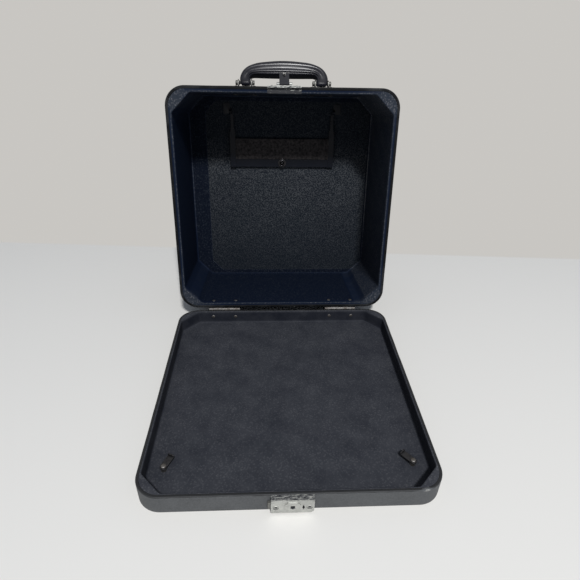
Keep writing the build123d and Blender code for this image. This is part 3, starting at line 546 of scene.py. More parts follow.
def store_marks(mesh: bpy.types.Mesh, wear_and_painted_light: Points) -> None:
    """Give every point of a mesh its mark, of worn places and of painted light and shade, which the
    finishes read.
    """
    marks = mesh.attributes.new("wear_and_painted_light", "FLOAT", "POINT")
    marks.data.foreach_set("value", wear_and_painted_light.astype(np.float32))


def round_end(distance: Points, full: float, radius: float) -> Points:
    """Half width of a strip near a rounded end.

    Formula: within one radius of the end the width falls by radius minus the root of
    radius squared less (radius - distance) squared.

    Args:
        distance: distance of each point from the end.
        full: half width away from the end.
        radius: radius of the two corners.

    Returns:
        Half width at each point.
    """
    near = np.clip(radius - distance, 0, radius)
    return full - radius + np.sqrt(np.maximum(radius**2 - near**2, 0.0))


def soft_path(corners: ArrayLike, spacing: float = 0.5, blur: int = 3) -> Points:
    """Smooth line through corners.

    Formula: the straight runs are sampled at one spacing, and each inner point is then replaced
    by a quarter, a half and a quarter of itself and its neighbours, as often as blur says.

    Args:
        corners: array of x, y, z.
        spacing: distance between points.
        blur: how often the line is smoothed.

    Returns:
        Array of x, y, z.
    """
    corners = np.asarray(corners, float)
    length = run_length(corners)
    s = np.linspace(0, length[-1], max(int(length[-1] / spacing), 4) + 1)
    path = np.stack([np.interp(s, length, corners[:, k]) for k in range(3)], -1)
    for _ in range(blur):
        path[1:-1] = (path[:-2] + 2 * path[1:-1] + path[2:]) / 4
    return path


# ------------------------------------------------------------------ dressing
SLOT_STARTS = {
    "plywood": ("base_board", "base_rail", "base_post", "lid_panel", "lid_wall_", "lid_post"),
    "leatherette": ("base_bottom_sheet", "base_cover", "lid_cover"),
    "lining_paper": ("base_lining", "lid_wall_lining"),
    "panel_cloth": ("lid_panel_lining",),
    "handle_plastic": ("handle_grip",),
    "nickel": ("lock_face", "strike_plate", "hasp", "handle_clevis", "handle_pins", "lock_rivets"),
    "fibre_board": ("holder_board",),
    "snap_chrome": ("snap_",),
    "black_enamel": ("holder_arm", "holder_bar", "holder_brackets", "holder_pins"),
}


def slot_of(node: str) -> str:
    """Slot of a node: that of the longest start above that its name has, or else steel.

    Args:
        node: name of the node.

    Returns:
        Name of the slot.
    """
    pairs = ((start, slot) for slot, starts in SLOT_STARTS.items() for start in starts)
    found = [(len(start), slot) for start, slot in pairs if node.startswith(start)]
    return max(found, default=(0, "steel"))[1]


def dressed(piece: Object, material: Material, node: str) -> Object:
    """Give a piece its finish, and let it stand for its node.

    Args:
        piece: the new object.
        material: its finish.
        node: node of the frame that it replaces.

    Returns:
        The same object.
    """
    piece.data.materials.clear()
    piece.data.materials.append(material)
    slot_of(node)
    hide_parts(node)
    return piece


def finished(piece: Object, body: str, material: Material, node: str) -> Object:
    """Hang a piece on its body and dress it.

    Args:
        piece: the new object.
        body: body that it rides on.
        material: its finish.
        node: node of the frame that it replaces.

    Returns:
        The same object.
    """
    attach(piece, body)
    log.info("%s: %d faces, rides on %s", piece.name, len(piece.data.polygons), body)
    return dressed(piece, material, node)


def grime_on_lock(points: Points) -> Points:
    """High on the flange over the rim, low on the face; from the height alone."""
    flange = 23.3
    return 0.57 * ramp(points[:, 2], flange, flange + 1.2)


def grime_on_strike(points: Points) -> Points:
    """High on the leaf under the rim, lower on the outer face; from the closed case's depth."""
    under = closed_again(points)[:, 1] - CASE.front
    return np.where(under > 0.3, 0.74, np.where(under < -1.4, 0.55, 0.50))


def bolt_grime_and_inner_shade(points: Points) -> Points:
    """Low on the thumb tab outside the pan; high on what slides inside it, as painted shade of the
    pan's inside.
    """
    half_pan = 22.0
    return np.where(points[:, 0] < CASE.fitting_x - half_pan, 0.30, 1.3)


def grime_on_clevis(points: Points) -> Points:
    """High on the base plate, low on the ears; from how far out they stand."""
    base_plate = 1.6
    return np.where(CASE.front - closed_again(points)[:, 1] < base_plate, 0.75, 0.15)


def merged_copy(
    node: str, name: str, grime: Callable[[Points], Points] | None = None
) -> Object:
    """Copy of a node with its points merged and its flat faces joined.

    Args:
        node: node of the frame.
        name: name of the new piece.
        grime: gives the wear mark from the points in millimetres, or None.

    Returns:
        The new object.
    """
    work = bmesh.new()
    work.from_mesh(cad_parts[node].data)
    bmesh.ops.remove_doubles(work, verts=work.verts, dist=1e-6)
    flat = math.radians(1.5)
    bmesh.ops.dissolve_limit(work, angle_limit=flat, verts=work.verts, edges=work.edges)
    mesh = bpy.data.meshes.new(name)
    work.to_mesh(mesh)
    work.free()
    mesh.shade_smooth()
    mesh.set_sharp_from_angle(angle=math.radians(SHARP))
    if grime is not None:
        points = np.empty(len(mesh.vertices) * 3)
        mesh.vertices.foreach_get("co", points)
        store_marks(mesh, grime(points.reshape(-1, 3) / MM))
    return linked(name, mesh)


def eased(
    node: str,
    name: str,
    body: str,
    material: Material,
    width: float,
    grime: Callable[[Points], Points] | None = None,
) -> Object:
    """Finished copy of a node with its edges eased.

    Args:
        node: node of the frame, which the copy replaces.
        name: name of the new piece.
        body: body that it rides on.
        material: its finish.
        width: width of the eased edges in millimetres.
        grime: gives the wear mark from the points in millimetres, or None.

    Returns:
        The new object.
    """
    piece = merged_copy(node, name, grime)
    bevel = piece.modifiers.new("eased", "BEVEL")
    bevel.width = width * MM
    bevel.segments = 2
    bevel.limit_method = "ANGLE"
    bevel.angle_limit = math.radians(SHARP)
    bevel.harden_normals = True
    return finished(piece, body, material, node)


# ------------------------------------------------------------------ finishes
class Blend(Enum):
    """How two values are joined."""

    MULTIPLY = "MULTIPLY"
    ADD = "ADD"
    SUBTRACT = "SUBTRACT"
    MAXIMUM = "MAXIMUM"


class Graph:
    """Node tree of a finish or of the world."""

    def __init__(self, owner: Material | World) -> None:
        """Take hold of the owner's nodes."""
        owner.use_nodes = True
        self.owner, self.tree = owner, owner.node_tree

    @cached_property
    def where(self) -> NodeSocket:
        """The object's own coordinates."""
        return self.node("TexCoord").outputs["Object"]

    @cached_property
    def mark(self) -> NodeSocket:
        """Mark of the mesh, of worn places and of painted light and shade.

        Returns:
            The mark, 0 where the piece has none.
        """
        node = self.node("Attribute")
        node.attribute_name = "wear_and_painted_light"
        return node.outputs["Fac"]

    def put(self, socket: NodeSocket, value: object) -> None:
        """Link a socket, or set its value.

        Args:
            socket: input of a node.
            value: socket, number, place, or colour of three parts.
        """
        if isinstance(value, NodeSocket):
            self.tree.links.new(value, socket)
        elif socket.type == "RGBA":
            socket.default_value = (*value, 1.0)
        else:
            socket.default_value = value

    def node(self, kind: str, **inputs: object) -> Node:
        """Add a node.

        Args:
            kind: its kind, without the common start of such names.
            inputs: its inputs by name, with underscores for spaces.

        Returns:
            The node.
        """
        node = self.tree.nodes.new("ShaderNode" + kind)
        for key, value in inputs.items():
            self.put(node.inputs[key.replace("_", " ")], value)
        return node

    def stretched(self, scale: Triple) -> NodeSocket:
        """Object coordinates with each axis scaled."""
        return self.node("Mapping", Scale=scale, Vector=self.where).outputs["Vector"]

    def noise(
        self, scale: float, detail: float = 3.0, rough: float = 0.55, at: object = None
    ) -> NodeSocket:
        """Cloudy noise.

        Args:
            scale: waves for each metre.
            detail: number of finer layers.
            rough: strength of the finer layers.
            at: coordinates, or None for the object's own.

        Returns:
            The noise, about 0.5 on the whole.
        """
        at = at or self.where
        node = self.node("TexNoise", Scale=scale, Detail=detail, Roughness=rough, Vector=at)
        return node.outputs["Fac"]

    def cells(self, scale: float) -> NodeSocket:
        """Distance to the middle of the nearest cell.

        Args:
            scale: cells for each metre.

        Returns:
            The distance.
        """
        node = self.node("TexVoronoi", Scale=scale, Vector=self.where)
        node.feature = "SMOOTH_F1"
        return node.outputs["Distance"]

    def steps(self, value: object, low: float, high: float) -> NodeSocket:
        """Value rescaled so that low becomes 0 and high becomes 1, and cut there."""
        return self.node("MapRange", From_Min=low, From_Max=high, Value=value).outputs["Result"]

    def join(self, how: Blend, a: object, b: object) -> NodeSocket:
        """Two values joined.

        Args:
            how: the way they are joined.
            a: first value or its socket.
            b: second value or its socket.

        Returns:
            The result.
        """
        node = self.node("Math")
        node.operation = how.value
        self.put(node.inputs[0], a)
        self.put(node.inputs[1], b)
        return node.outputs["Value"]

    def times(self, a: object, b: object) -> NodeSocket:
        """Product of two values."""
        return self.join(Blend.MULTIPLY, a, b)

    def sum(self, a: object, b: object, share_a: float = 1.0, share_b: float = 1.0) -> NodeSocket:
        """Sum of two values, each times its share."""
        a, b = (v if s == 1.0 else self.times(v, s) for v, s in ((a, share_a), (b, share_b)))
        return self.join(Blend.ADD, a, b)

    def mix(self, share: object, a: object, b: object) -> NodeSocket:
        """Colour between two colours.

        Args:
            share: 0 for the first colour, 1 for the second.
            a: first colour or its socket.
            b: second colour or its socket.

        Returns:
            The colour.
        """
        node = self.node("Mix", Factor=share)
        node.data_type = "RGBA"
        for key, value in (("A", a), ("B", b)):
            self.put(next(s for s in node.inputs if s.name == key and s.type == "RGBA"), value)
        return next(s for s in node.outputs if s.type == "RGBA")

    def finish(
        self,
        colour: object,
        rough: object,
        height: object = None,
        relief: float = 0.0,
        **own: object,
    ) -> Material:
        """Connect the shader.

        Args:
            colour: colour or its socket.
            rough: roughness or its socket.
            height: height of the relief from 0 to 1, or None.
            relief: how high 1 is, in millimetres.
            own: other inputs of the shader by name, with underscores for spaces.

        Returns:
            The material.
        """
        own.update(Base_Color=colour, Roughness=rough)
        if height is not None:
            bump = self.node("Bump", Strength=1.0, Distance=relief * MM, Height=height)
            own["Normal"] = bump.outputs["Normal"]
        shader = self.tree.nodes["Principled BSDF"]
        for key, value in own.items():
            self.put(shader.inputs[key.replace("_", " ")], value)
        return self.owner

    def show(self, share: NodeSocket, first: Node, second: Node) -> None:
        """Send a mix of two shaders to the output.

        Args:
            share: 0 for the first shader, 1 for the second.
            first: node of the first shader.
            second: node of the second shader.
        """
        mixed = self.node("MixShader", Fac=share)
        self.put(mixed.inputs[1], first.outputs[0])
        self.put(mixed.inputs[2], second.outputs[0])
        out = next(n for n in self.tree.nodes if n.type.startswith("OUTPUT"))
        self.put(out.inputs["Surface"], mixed.outputs[0])


@dataclass(frozen=True)
class Finish:
    """Finish of one kind of material, made into a named node tree."""

    name: str

    def graph(self) -> Graph:
        """New node tree under this finish's name."""
        return Graph(bpy.data.materials.new(self.name))

    def material(self) -> Material:
        """Material of this finish; each kind has its own way to make it."""
        raise NotImplementedError


@dataclass(frozen=True)
class Leatherette(Finish):
    """Black coated cloth with a pebbled grain, rubbed to its tan backing where it is worn."""

    deep: Triple
    black: Triple
    dusty: Triple
    bare: Triple
    gloss: float
    pebbles: float = 800.0

    def material(self) -> Material:
        """Grain from cells, dust from noise, bare cloth at a high mark and none at a low one.

        Returns:
            The material.
        """
        g = self.graph()
        cloud = g.sum(g.noise(38, 6, 0.62), g.noise(520, 3), 0.45, 0.7)
        low = g.steps(g.mark, -1.0, 0.0)
        dust = g.times(g.steps(cloud, 0.33, 0.82), low)
        cloth = g.mix(dust, g.mix(low, self.deep, self.black), self.dusty)
        flecks = g.steps(g.noise(700, 4, 0.7), 0.35, 0.75)
        rubbed = g.steps(g.sum(g.mark, flecks, share_b=0.5), 0.62, 0.95)
        height = g.sum(g.cells(self.pebbles), g.noise(2600, 3), 0.8, 0.2)
        rough = g.steps(g.sum(dust, rubbed), -2.2, 1.8)
        colour = g.mix(rubbed, cloth, self.bare)
        return g.finish(colour, rough, height, 0.12, Specular_IOR_Level=self.gloss)


@dataclass(frozen=True)
class LiningPaper(Finish):
    """Dark blue-black pebbled lining, greyer and more speckled where its mark is high; on the lid's
    walls the mark paints light and shade.
    """

    dark: Triple
    light: Triple
    crest: Triple
    sheen: float
    rubbed: Triple = (0.20, 0.20, 0.20)

    def material(self) -> Material:
        """Cells give the pebbles, whose crests show pale where the mark is high: rubbed places, and
        painted highlights on the lid.

        Returns:
            The material.
        """
        g = self.graph()
        pebble = g.cells(440)
        fibre = g.noise(1500, 3, 0.65)
        cloud = g.noise(45, 5, 0.65)
        share = g.sum(g.mark, g.steps(cloud, 0.3, 0.7), share_b=0.35)
        # Marks below zero darken the lining: the flap, and painted shade on the lid's lamp-lit
        # walls.
        black = tuple(c * 0.3 for c in self.dark)
        deep = g.mix(g.steps(g.mark, -1.0, 0.0), black, self.dark)
        base = g.mix(g.steps(share, 0.15, 1.15), deep, self.light)
        specks = g.steps(g.noise(430, 3, 0.7), 0.52, 0.70)
        base = g.mix(g.times(specks, g.steps(g.mark, -0.3, -0.5)), base, self.light)
        crest = g.times(g.steps(pebble, 0.42, 0.12), g.steps(fibre, 0.35, 0.65))
        colour = g.mix(g.times(crest, g.steps(g.mark, 0.15, 1.0)), base, self.crest)
        # The highest marks show the pale rubbed colour: a real tear on the tray's rim, and a
        # painted highlight along the lid's right wall corner.
        bare = g.times(g.steps(g.mark, 1.2, 2.0), g.steps(cloud, 0.25, 0.7))
        height = g.sum(pebble, fibre, -0.8, 0.3)
        colour = g.mix(bare, colour, self.rubbed)
        return g.finish(colour, 0.72, height, 0.14, Specular_IOR_Level=self.sheen)


@dataclass(frozen=True)
class SpeckledCloth(Finish):
    """Grey-black cloth paper with light specks, on the panel of the lid."""

    dark: Triple = (0.0022, 0.0052, 0.0105)
    light: Triple = (0.098, 0.104, 0.112)

    def material(self) -> Material:
        """Specks from two scales of noise, thinned out by a slow cloud and by the mark, which
        paints the shadow near the front wall and darkens towards the rear.

        Returns:
            The material.
        """
        g = self.graph()
        speck = g.steps(g.noise(560, 1.5, 0.6), 0.46, 0.60)
        fine = g.steps(g.noise(1200, 2, 0.6), 0.42, 0.62)
        cloud = g.steps(g.noise(14, 4, 0.6), 0.2, 0.8)
        share = g.times(g.sum(speck, fine, 0.55, 0.22), g.sum(cloud, 0.6, share_a=0.5))
        # The mark takes the specks away: painted shadow, and a darkening towards the rear.
        share = g.times(share, g.steps(g.mark, 2.0, 0.0))
        colour = g.mix(share, self.dark, self.light)
        return g.finish(colour, 0.9, speck, 0.10, Specular_IOR_Level=0.15)


@dataclass(frozen=True)
class MouldedPlastic(Finish):
    """Black moulded plastic of the grip, semi-gloss with handling scuffs."""

    black: Triple = (0.0095, 0.010, 0.016)
    dull: Triple = (0.023, 0.024, 0.031)

    def material(self) -> Material:
        """Gloss broken by scuffs along the grip.

        Returns:
            The material.
        """
        g = self.graph()
        scuff = g.steps(g.noise(60, 3, 0.5, g.stretched((0.35, 1.0, 1.0))), 0.42, 0.7)
        colour, rough = g.mix(scuff, self.black, self.dull), g.steps(scuff, -2.3, 6.0)
        return g.finish(colour, rough, g.noise(300, 2), 0.004, Specular_IOR_Level=0.38)


@dataclass(frozen=True)
class Metal(Finish):
    """Sheet metal or turned metal with scratches and tarnish."""

    bright: Triple
    dull: Triple
    smooth: float
    rough: float
    tarnish: float

    def material(self) -> Material:
        """Tarnish from broad noise and fine scratches along one axis.

        Returns:
            The material.
        """
        g = self.graph()
        scratch = g.noise(1500, 3, 0.6, g.stretched((0.15, 1.0, 1.0)))
        spots = g.steps(g.noise(160, 6, 0.68), 0.62 - 0.25 * self.tarnish, 0.80)
        span = self.rough - self.smooth
        grime = g.sum(spots, scratch, 0.6, 0.4)
        rough = g.steps(grime, -self.smooth / span, (1 - self.smooth) / span)
        return g.finish(g.mix(spots, self.bright, self.dull), rough, scratch, 0.02, Metallic=1.0)


@dataclass(frozen=True)
class GrimeAndShadeMetal(Finish):
    """Bright sheet metal whose marked places are black: old paint and dirt, and painted shade where
    the marks stand for it.
    """

    bright: Triple
    grime: Triple
    rough: float
    drawn: float = 1.0
    dark_lozenges: tuple[tuple[float, float, float, float], ...] = ()

    def dark_lozenge(self, g: Graph, x: float, z: float, half_x: float, half_z: float) -> NodeSocket:
        """Dark diamond on the front face: 1 in its middle, falling to 0 past its four sides.

        Formula: 1 less the sum of the two distances from its middle, each over its half length.

        Args:
            g: node tree of the finish.
            x: middle in millimetres.
            z: middle in millimetres.
            half_x: half length along X.
            half_z: half length along Z.

        Returns:
            How dark it is.
        """
        middle, scale = (-x / half_x, 0.0, -z / half_z), (1 / (half_x * MM), 0.0, 1 / (half_z * MM))
        mapped = g.node("Mapping", Location=middle, Scale=scale, Vector=g.where)
        ways = g.node("SeparateXYZ", Vector=mapped.outputs["Vector"]).outputs
        sides = [g.join(Blend.MAXIMUM, ways[k], g.times(ways[k], -1.0)) for k in "XZ"]
        return g.steps(g.sum(*sides), 1.25, 0.75)

    def material(self) -> Material:
        """The dark colour lies where the mark outdoes a fleck noise and inside the dark lozenges;
        it is grime, and painted shade where the marks stand for shade; the rest is scratched metal.

        Returns:
            The material.
        """
        g = self.graph()
        flecks = g.noise(760, 4, 0.7, g.stretched((self.drawn, 1.0, 1.0)))
        scratch = g.noise(1500, 3, 0.6, g.stretched((0.15, 1.0, 1.0)))
        cloud = g.steps(g.noise(120, 5, 0.6), 0.3, 0.75)
        cover = g.steps(g.join(Blend.SUBTRACT, g.mark, g.times(flecks, 0.9)), -0.02, 0.16)
        for dark_lozenge in self.dark_lozenges:
            cover = g.join(Blend.MAXIMUM, cover, self.dark_lozenge(g, *dark_lozenge))
        dull = tuple(c * 0.72 for c in self.bright)
        colour = g.mix(cover, g.mix(cloud, self.bright, dull), self.grime)
        rough = g.steps(g.sum(cover, scratch, share_b=0.5), -self.rough * 3, 1.9)
        bare = g.steps(cover, 1.0, 0.2)
        return g.finish(colour, rough, scratch, 0.02, Metallic=bare, Specular_IOR_Level=0.22)


@dataclass(frozen=True)
class Enamel(Finish):
    """Glossy black baked enamel on the paper holder."""

    black: Triple = (0.002, 0.0035, 0.008)
    chipped: Triple = (0.03, 0.03, 0.035)

    def material(self) -> Material:
        """Orange-peel relief with a few dull patches and small chips.

        Returns:
            The material.
        """
        g = self.graph()
        rough = g.steps(g.steps(g.noise(60, 5, 0.65), 0.5, 0.75), -0.9, 2.2)
        colour = g.mix(g.steps(g.noise(420, 3, 0.7), 0.66, 0.70), self.black, self.chipped)
        return g.finish(colour, rough, g.noise(420, 2), 0.02, Specular_IOR_Level=0.14)


@dataclass(frozen=True)
class FibreBoard(Finish):
    """Brown-black mottled pressed board."""

    dark: Triple = (0.012, 0.011, 0.012)
    brown: Triple = (0.060, 0.054, 0.054)

    def material(self) -> Material:
        """Mottle from mid-size noise over a fine fibre.

        Returns:
            The material.
        """
        g = self.graph()
        fibre = g.noise(1400, 3, 0.6, g.stretched((0.3, 1.0, 1.0)))
        colour = g.mix(g.steps(g.noise(260, 5, 0.7), 0.38, 0.68), self.dark, self.brown)
        return g.finish(colour, 0.85, fibre, 0.05, Specular_IOR_Level=0.15)


@dataclass(frozen=True)
class Plywood(Finish):
    """Thin plywood of the walls and boards, under the coverings."""

    pale: Triple = (0.48, 0.34, 0.20)
    late: Triple = (0.33, 0.20, 0.10)

    def material(self) -> Material:
        """Grain bands drawn out along X.

        Returns:
            The material.
        """
        g = self.graph()
        along = g.stretched((0.12, 1.0, 1.0))
        bands = g.node("TexWave", Scale=60, Distortion=6.0, Detail=2.0, Vector=along)
        bands.bands_direction = "Y"
        fibre = g.noise(900, 4, 0.6, along)
        share = g.sum(bands.outputs["Fac"], fibre, 0.6, 0.4)
        return g.finish(g.mix(share, self.pale, self.late), 0.7, fibre, 0.08)


def made(finish: Finish) -> Material:
    """Field whose material is made together with the rest."""
    return field(default_factory=finish.material)


@dataclass
class Finishes:
    """Every finish of the case, made once; slots of the record have a field of their name."""

    leatherette: Material = made(Leatherette(
        "tray_leatherette", (0.010, 0.011, 0.013), (0.050, 0.053, 0.057),
        (0.110, 0.115, 0.120), (0.26, 0.26, 0.25), 0.35,
    ))
    lid_leatherette: Material = made(Leatherette(
        "lid_leatherette", (0.003, 0.0035, 0.0045), (0.030, 0.032, 0.036),
        (0.085, 0.089, 0.094), (0.20, 0.20, 0.19), 0.12,
    ))
    lining_paper: Material = made(LiningPaper(
        "tray_lining", (0.010, 0.012, 0.019), (0.058, 0.061, 0.070), (0.17, 0.17, 0.18), 0.18
    ))
    lid_lining: Material = made(LiningPaper(
        "lid_lining", (0.0052, 0.0102, 0.0255), (0.025, 0.031, 0.042), (0.16, 0.16, 0.175), 0.07
    ))
    panel_cloth: Material = made(SpeckledCloth("speckled_cloth"))
    handle_plastic: Material = made(MouldedPlastic("handle_plastic"))
    black_enamel: Material = made(Enamel("black_enamel"))
    fibre_board: Material = made(FibreBoard("fibre_board"))
    plywood: Material = made(Plywood("plywood"))
    nickel: Material = made(
        Metal("satin_nickel", (0.72, 0.73, 0.71), (0.34, 0.33, 0.31), 0.38, 0.62, 0.25)
    )
    lock_nickel: Material = made(GrimeAndShadeMetal(
        "lock_nickel", (0.60, 0.61, 0.59), (0.030, 0.031, 0.035), 0.55, 0.25,
        # Dark lozenges: one over the catch slot, a painted shade of its inside, and a narrow one to
        # its right.
        ((CASE.fitting_x + 11.2, 12.0, 1.5, 3.5), (CASE.fitting_x, 12.0, 2.9, 1.9)),
    ))
    hasp_nickel: Material = made(
        GrimeAndShadeMetal("hasp_nickel", (0.50, 0.50, 0.49), (0.026, 0.026, 0.030), 0.42)
    )
    clevis_nickel: Material = made(
        GrimeAndShadeMetal("clevis_nickel", (0.23, 0.23, 0.22), (0.022, 0.022, 0.025), 0.60)
    )
    steel: Material = made(
        Metal("plain_steel", (0.17, 0.167, 0.165), (0.08, 0.064, 0.052), 0.45, 0.78, 0.7)
    )
    black_steel: Material = made(
        Metal("blackened_steel", (0.055, 0.055, 0.060), (0.014, 0.014, 0.016), 0.40, 0.70, 0.7)
    )
    snap_chrome: Material = made(
        Metal("snap_chrome", (0.045, 0.045, 0.05), (0.006, 0.006, 0.007), 0.14, 0.40, 0.9)
    )

    def by_slot(self, slot: str) -> Material:
        """Finish of one of the record's slots."""
        return getattr(self, slot)


@dataclass
class Fitting:
    """Sub-assembly of the case, dressed in the shared finishes."""

    finishes: Finishes


# ------------------------------------------------------------------ coverings
@dataclass
class Half(Fitting):
    """What the tray and the lid have in common: walls, corner posts and a turned-over lining."""

    side: float = 5.0
    post_leg: float = 24.53
    lip: float = 3.4
    rim_round: float = 1.3
    lining_bend: float = 2.2
    lining_edge: float = 0.9

    def outlines(self) -> tuple[Points, Points, Points, Points]:
        """Outlines that the lining passes.

        Returns:
            The bay, its hidden side, the end of the wall's rounding and the outer end.
        """
        edge = self.lining_edge
        return (
            bay_ring(self.side, self.post_leg),
            bay_ring(self.side - CASE.sheet, self.post_leg + HIDDEN_LEG),
            bay_ring(self.side - edge, self.post_leg + LEG_GROWTH * edge),
            case_ring(self.lip + 0.05),
        )


@dataclass
class Tray(Half):
    """Shallow lower half: leatherette outside, dark lining inside, both turned over the rim."""

    floor: float = 4.8
    foot_round: float = 0.8
    knock: tuple[float, float] = (141.0, -164.0)
    tear: tuple[float, float] = (158.5, -135.5)

    def cover(self) -> Object:
        """Leatherette around the walls and over the rim.

        Formula: an (inset, height) profile goes up the outer face, round the rim and back down
        behind it, and each of its points is a ring of the case's outline at that inset.

        Returns:
            The finished piece.
        """
        sheet, rim, edge = CASE.sheet, CASE.rim, self.rim_round
        profile = np.concatenate([
            quarter(self.foot_round, 6)[::-1],
            [(0.0, z) for z in np.linspace(self.foot_round, rim - 3.2, 8)[1:]],
            [(0.0, rim - down) for down in (2.7, 2.3, 1.9, 1.5)],  # along the worn line
            quarter(edge, 6) * (1, -1) + (0, rim),
            [(inset, rim) for inset in np.linspace(edge, self.lip, 4)[1:]],
            [(self.lip, rim - sheet), (sheet, rim - sheet), (sheet, 0.0)],
        ])
        rows = wrapped(profile)
        inset, z = profile.T
        swell = ripple(rows, 0.12, 34, 3) * ((inset < sheet) * ramp(z, 0, 10))[:, None]
        rows[..., :2] *= 1 + (np.minimum(swell, 0) / CASE.right)[..., None]
        x, y = rows[..., 0], rows[..., 1]
        # Rubbed along the rim, most in front, bare at the knocked corner, dark where it turns in.
        front = ramp(y, CASE.front + 30, CASE.front + 10)
        worn = bell(z, rim - 1.9, 0.6) * (inset < 1.2)
        wear_and_painted_light = worn[:, None] * (0.05 + 0.22 * front)
        wear_and_painted_light += ripple(rows, 0.30, 9, 5) * (worn > 0.05)[:, None] * (0.2 + 0.8 * front)
        wear_and_painted_light -= (0.8 * ramp(z, rim - 1.5, rim - 1.0) + ramp(inset, sheet, 2 * sheet))[:, None]
        knock = bell(x, self.knock[0], 6) * bell(y, self.knock[1], 3)
        wear_and_painted_light += 1.9 * knock * (z > rim - 1.4)[:, None]
        piece = Shape().lattice(rows, True, wear_and_painted_light).piece("tray_leatherette", Place.TRAY)
        return finished(piece, "base", self.finishes.leatherette, "base_cover")

    def lining(self) -> Object:
        """Lining of the floor and walls, with its gussets over the corner posts.

        Formula: rings go from the middle of the floor to the bay's cut-cornered outline, up the
        wall, over its edge and out to the case's rounded outline, each ring between the two
        outlines being a straight blend of them; the hidden side comes back one sheet below.

        Returns:
            The finished piece.
        """
        floor, rim, bend, edge = self.floor, CASE.rim, self.lining_bend, self.lining_edge
        bay, under, out, end = self.outlines()
        a = np.linspace(0, QUARTER, 5)
        fall, sin = 1 - np.cos(a), np.sin(a)
        rings = Rings()
        rings.between(0 * bay, bay, np.linspace(0.02, 0.985, 60), floor, 0.38)
        rings.between(bay * 0.987, bay, sin, floor + bend * fall, 0.35 - 0.2 * sin)
        rings.between(bay, bay, 0, np.linspace(floor + bend, rim - edge, 7)[1:-1], 0.10)
        rings.between(bay, out, fall, rim - edge * (1 - sin), 0.40)
        rings.between(out, end, np.linspace(0, 1, 9)[1:], rim, 0.50)
        rings.between(under, end, (1.0, 0.0), rim - CASE.sheet, 0.3)
        rings.between(0 * under, under, (1.0, 0.04), floor - CASE.sheet, 0.0)
        lattice, wear_and_painted_light = rings.joined()
        x, y, z = np.moveaxis(lattice, -1, 0)
        # The turned-over rim sags between its ends and is torn at one place; the floor is uneven.
        top = (z > rim - 0.01) & (wear_and_painted_light > 0.45)
        z -= np.abs(ripple(lattice, 0.12, 16, 8)) * top
        flat = z == floor
        z += ripple(lattice, 0.10, 45, 11) * flat
        wear_and_painted_light += ripple(lattice, 0.05, 40, 9) * (top | flat)
        wear_and_painted_light += 1.6 * bell(x, self.tear[0], 4) * bell(y, self.tear[1], 3.5) * top
        piece = Shape().lattice(lattice, wear_and_painted_light=wear_and_painted_light).piece("tray_lining", Place.TRAY)
        return finished(piece, "base", self.finishes.lining_paper, "base_lining")

    def build(self) -> list[Object]:
        """Both coverings of the tray."""
        return [self.cover(), self.lining()]


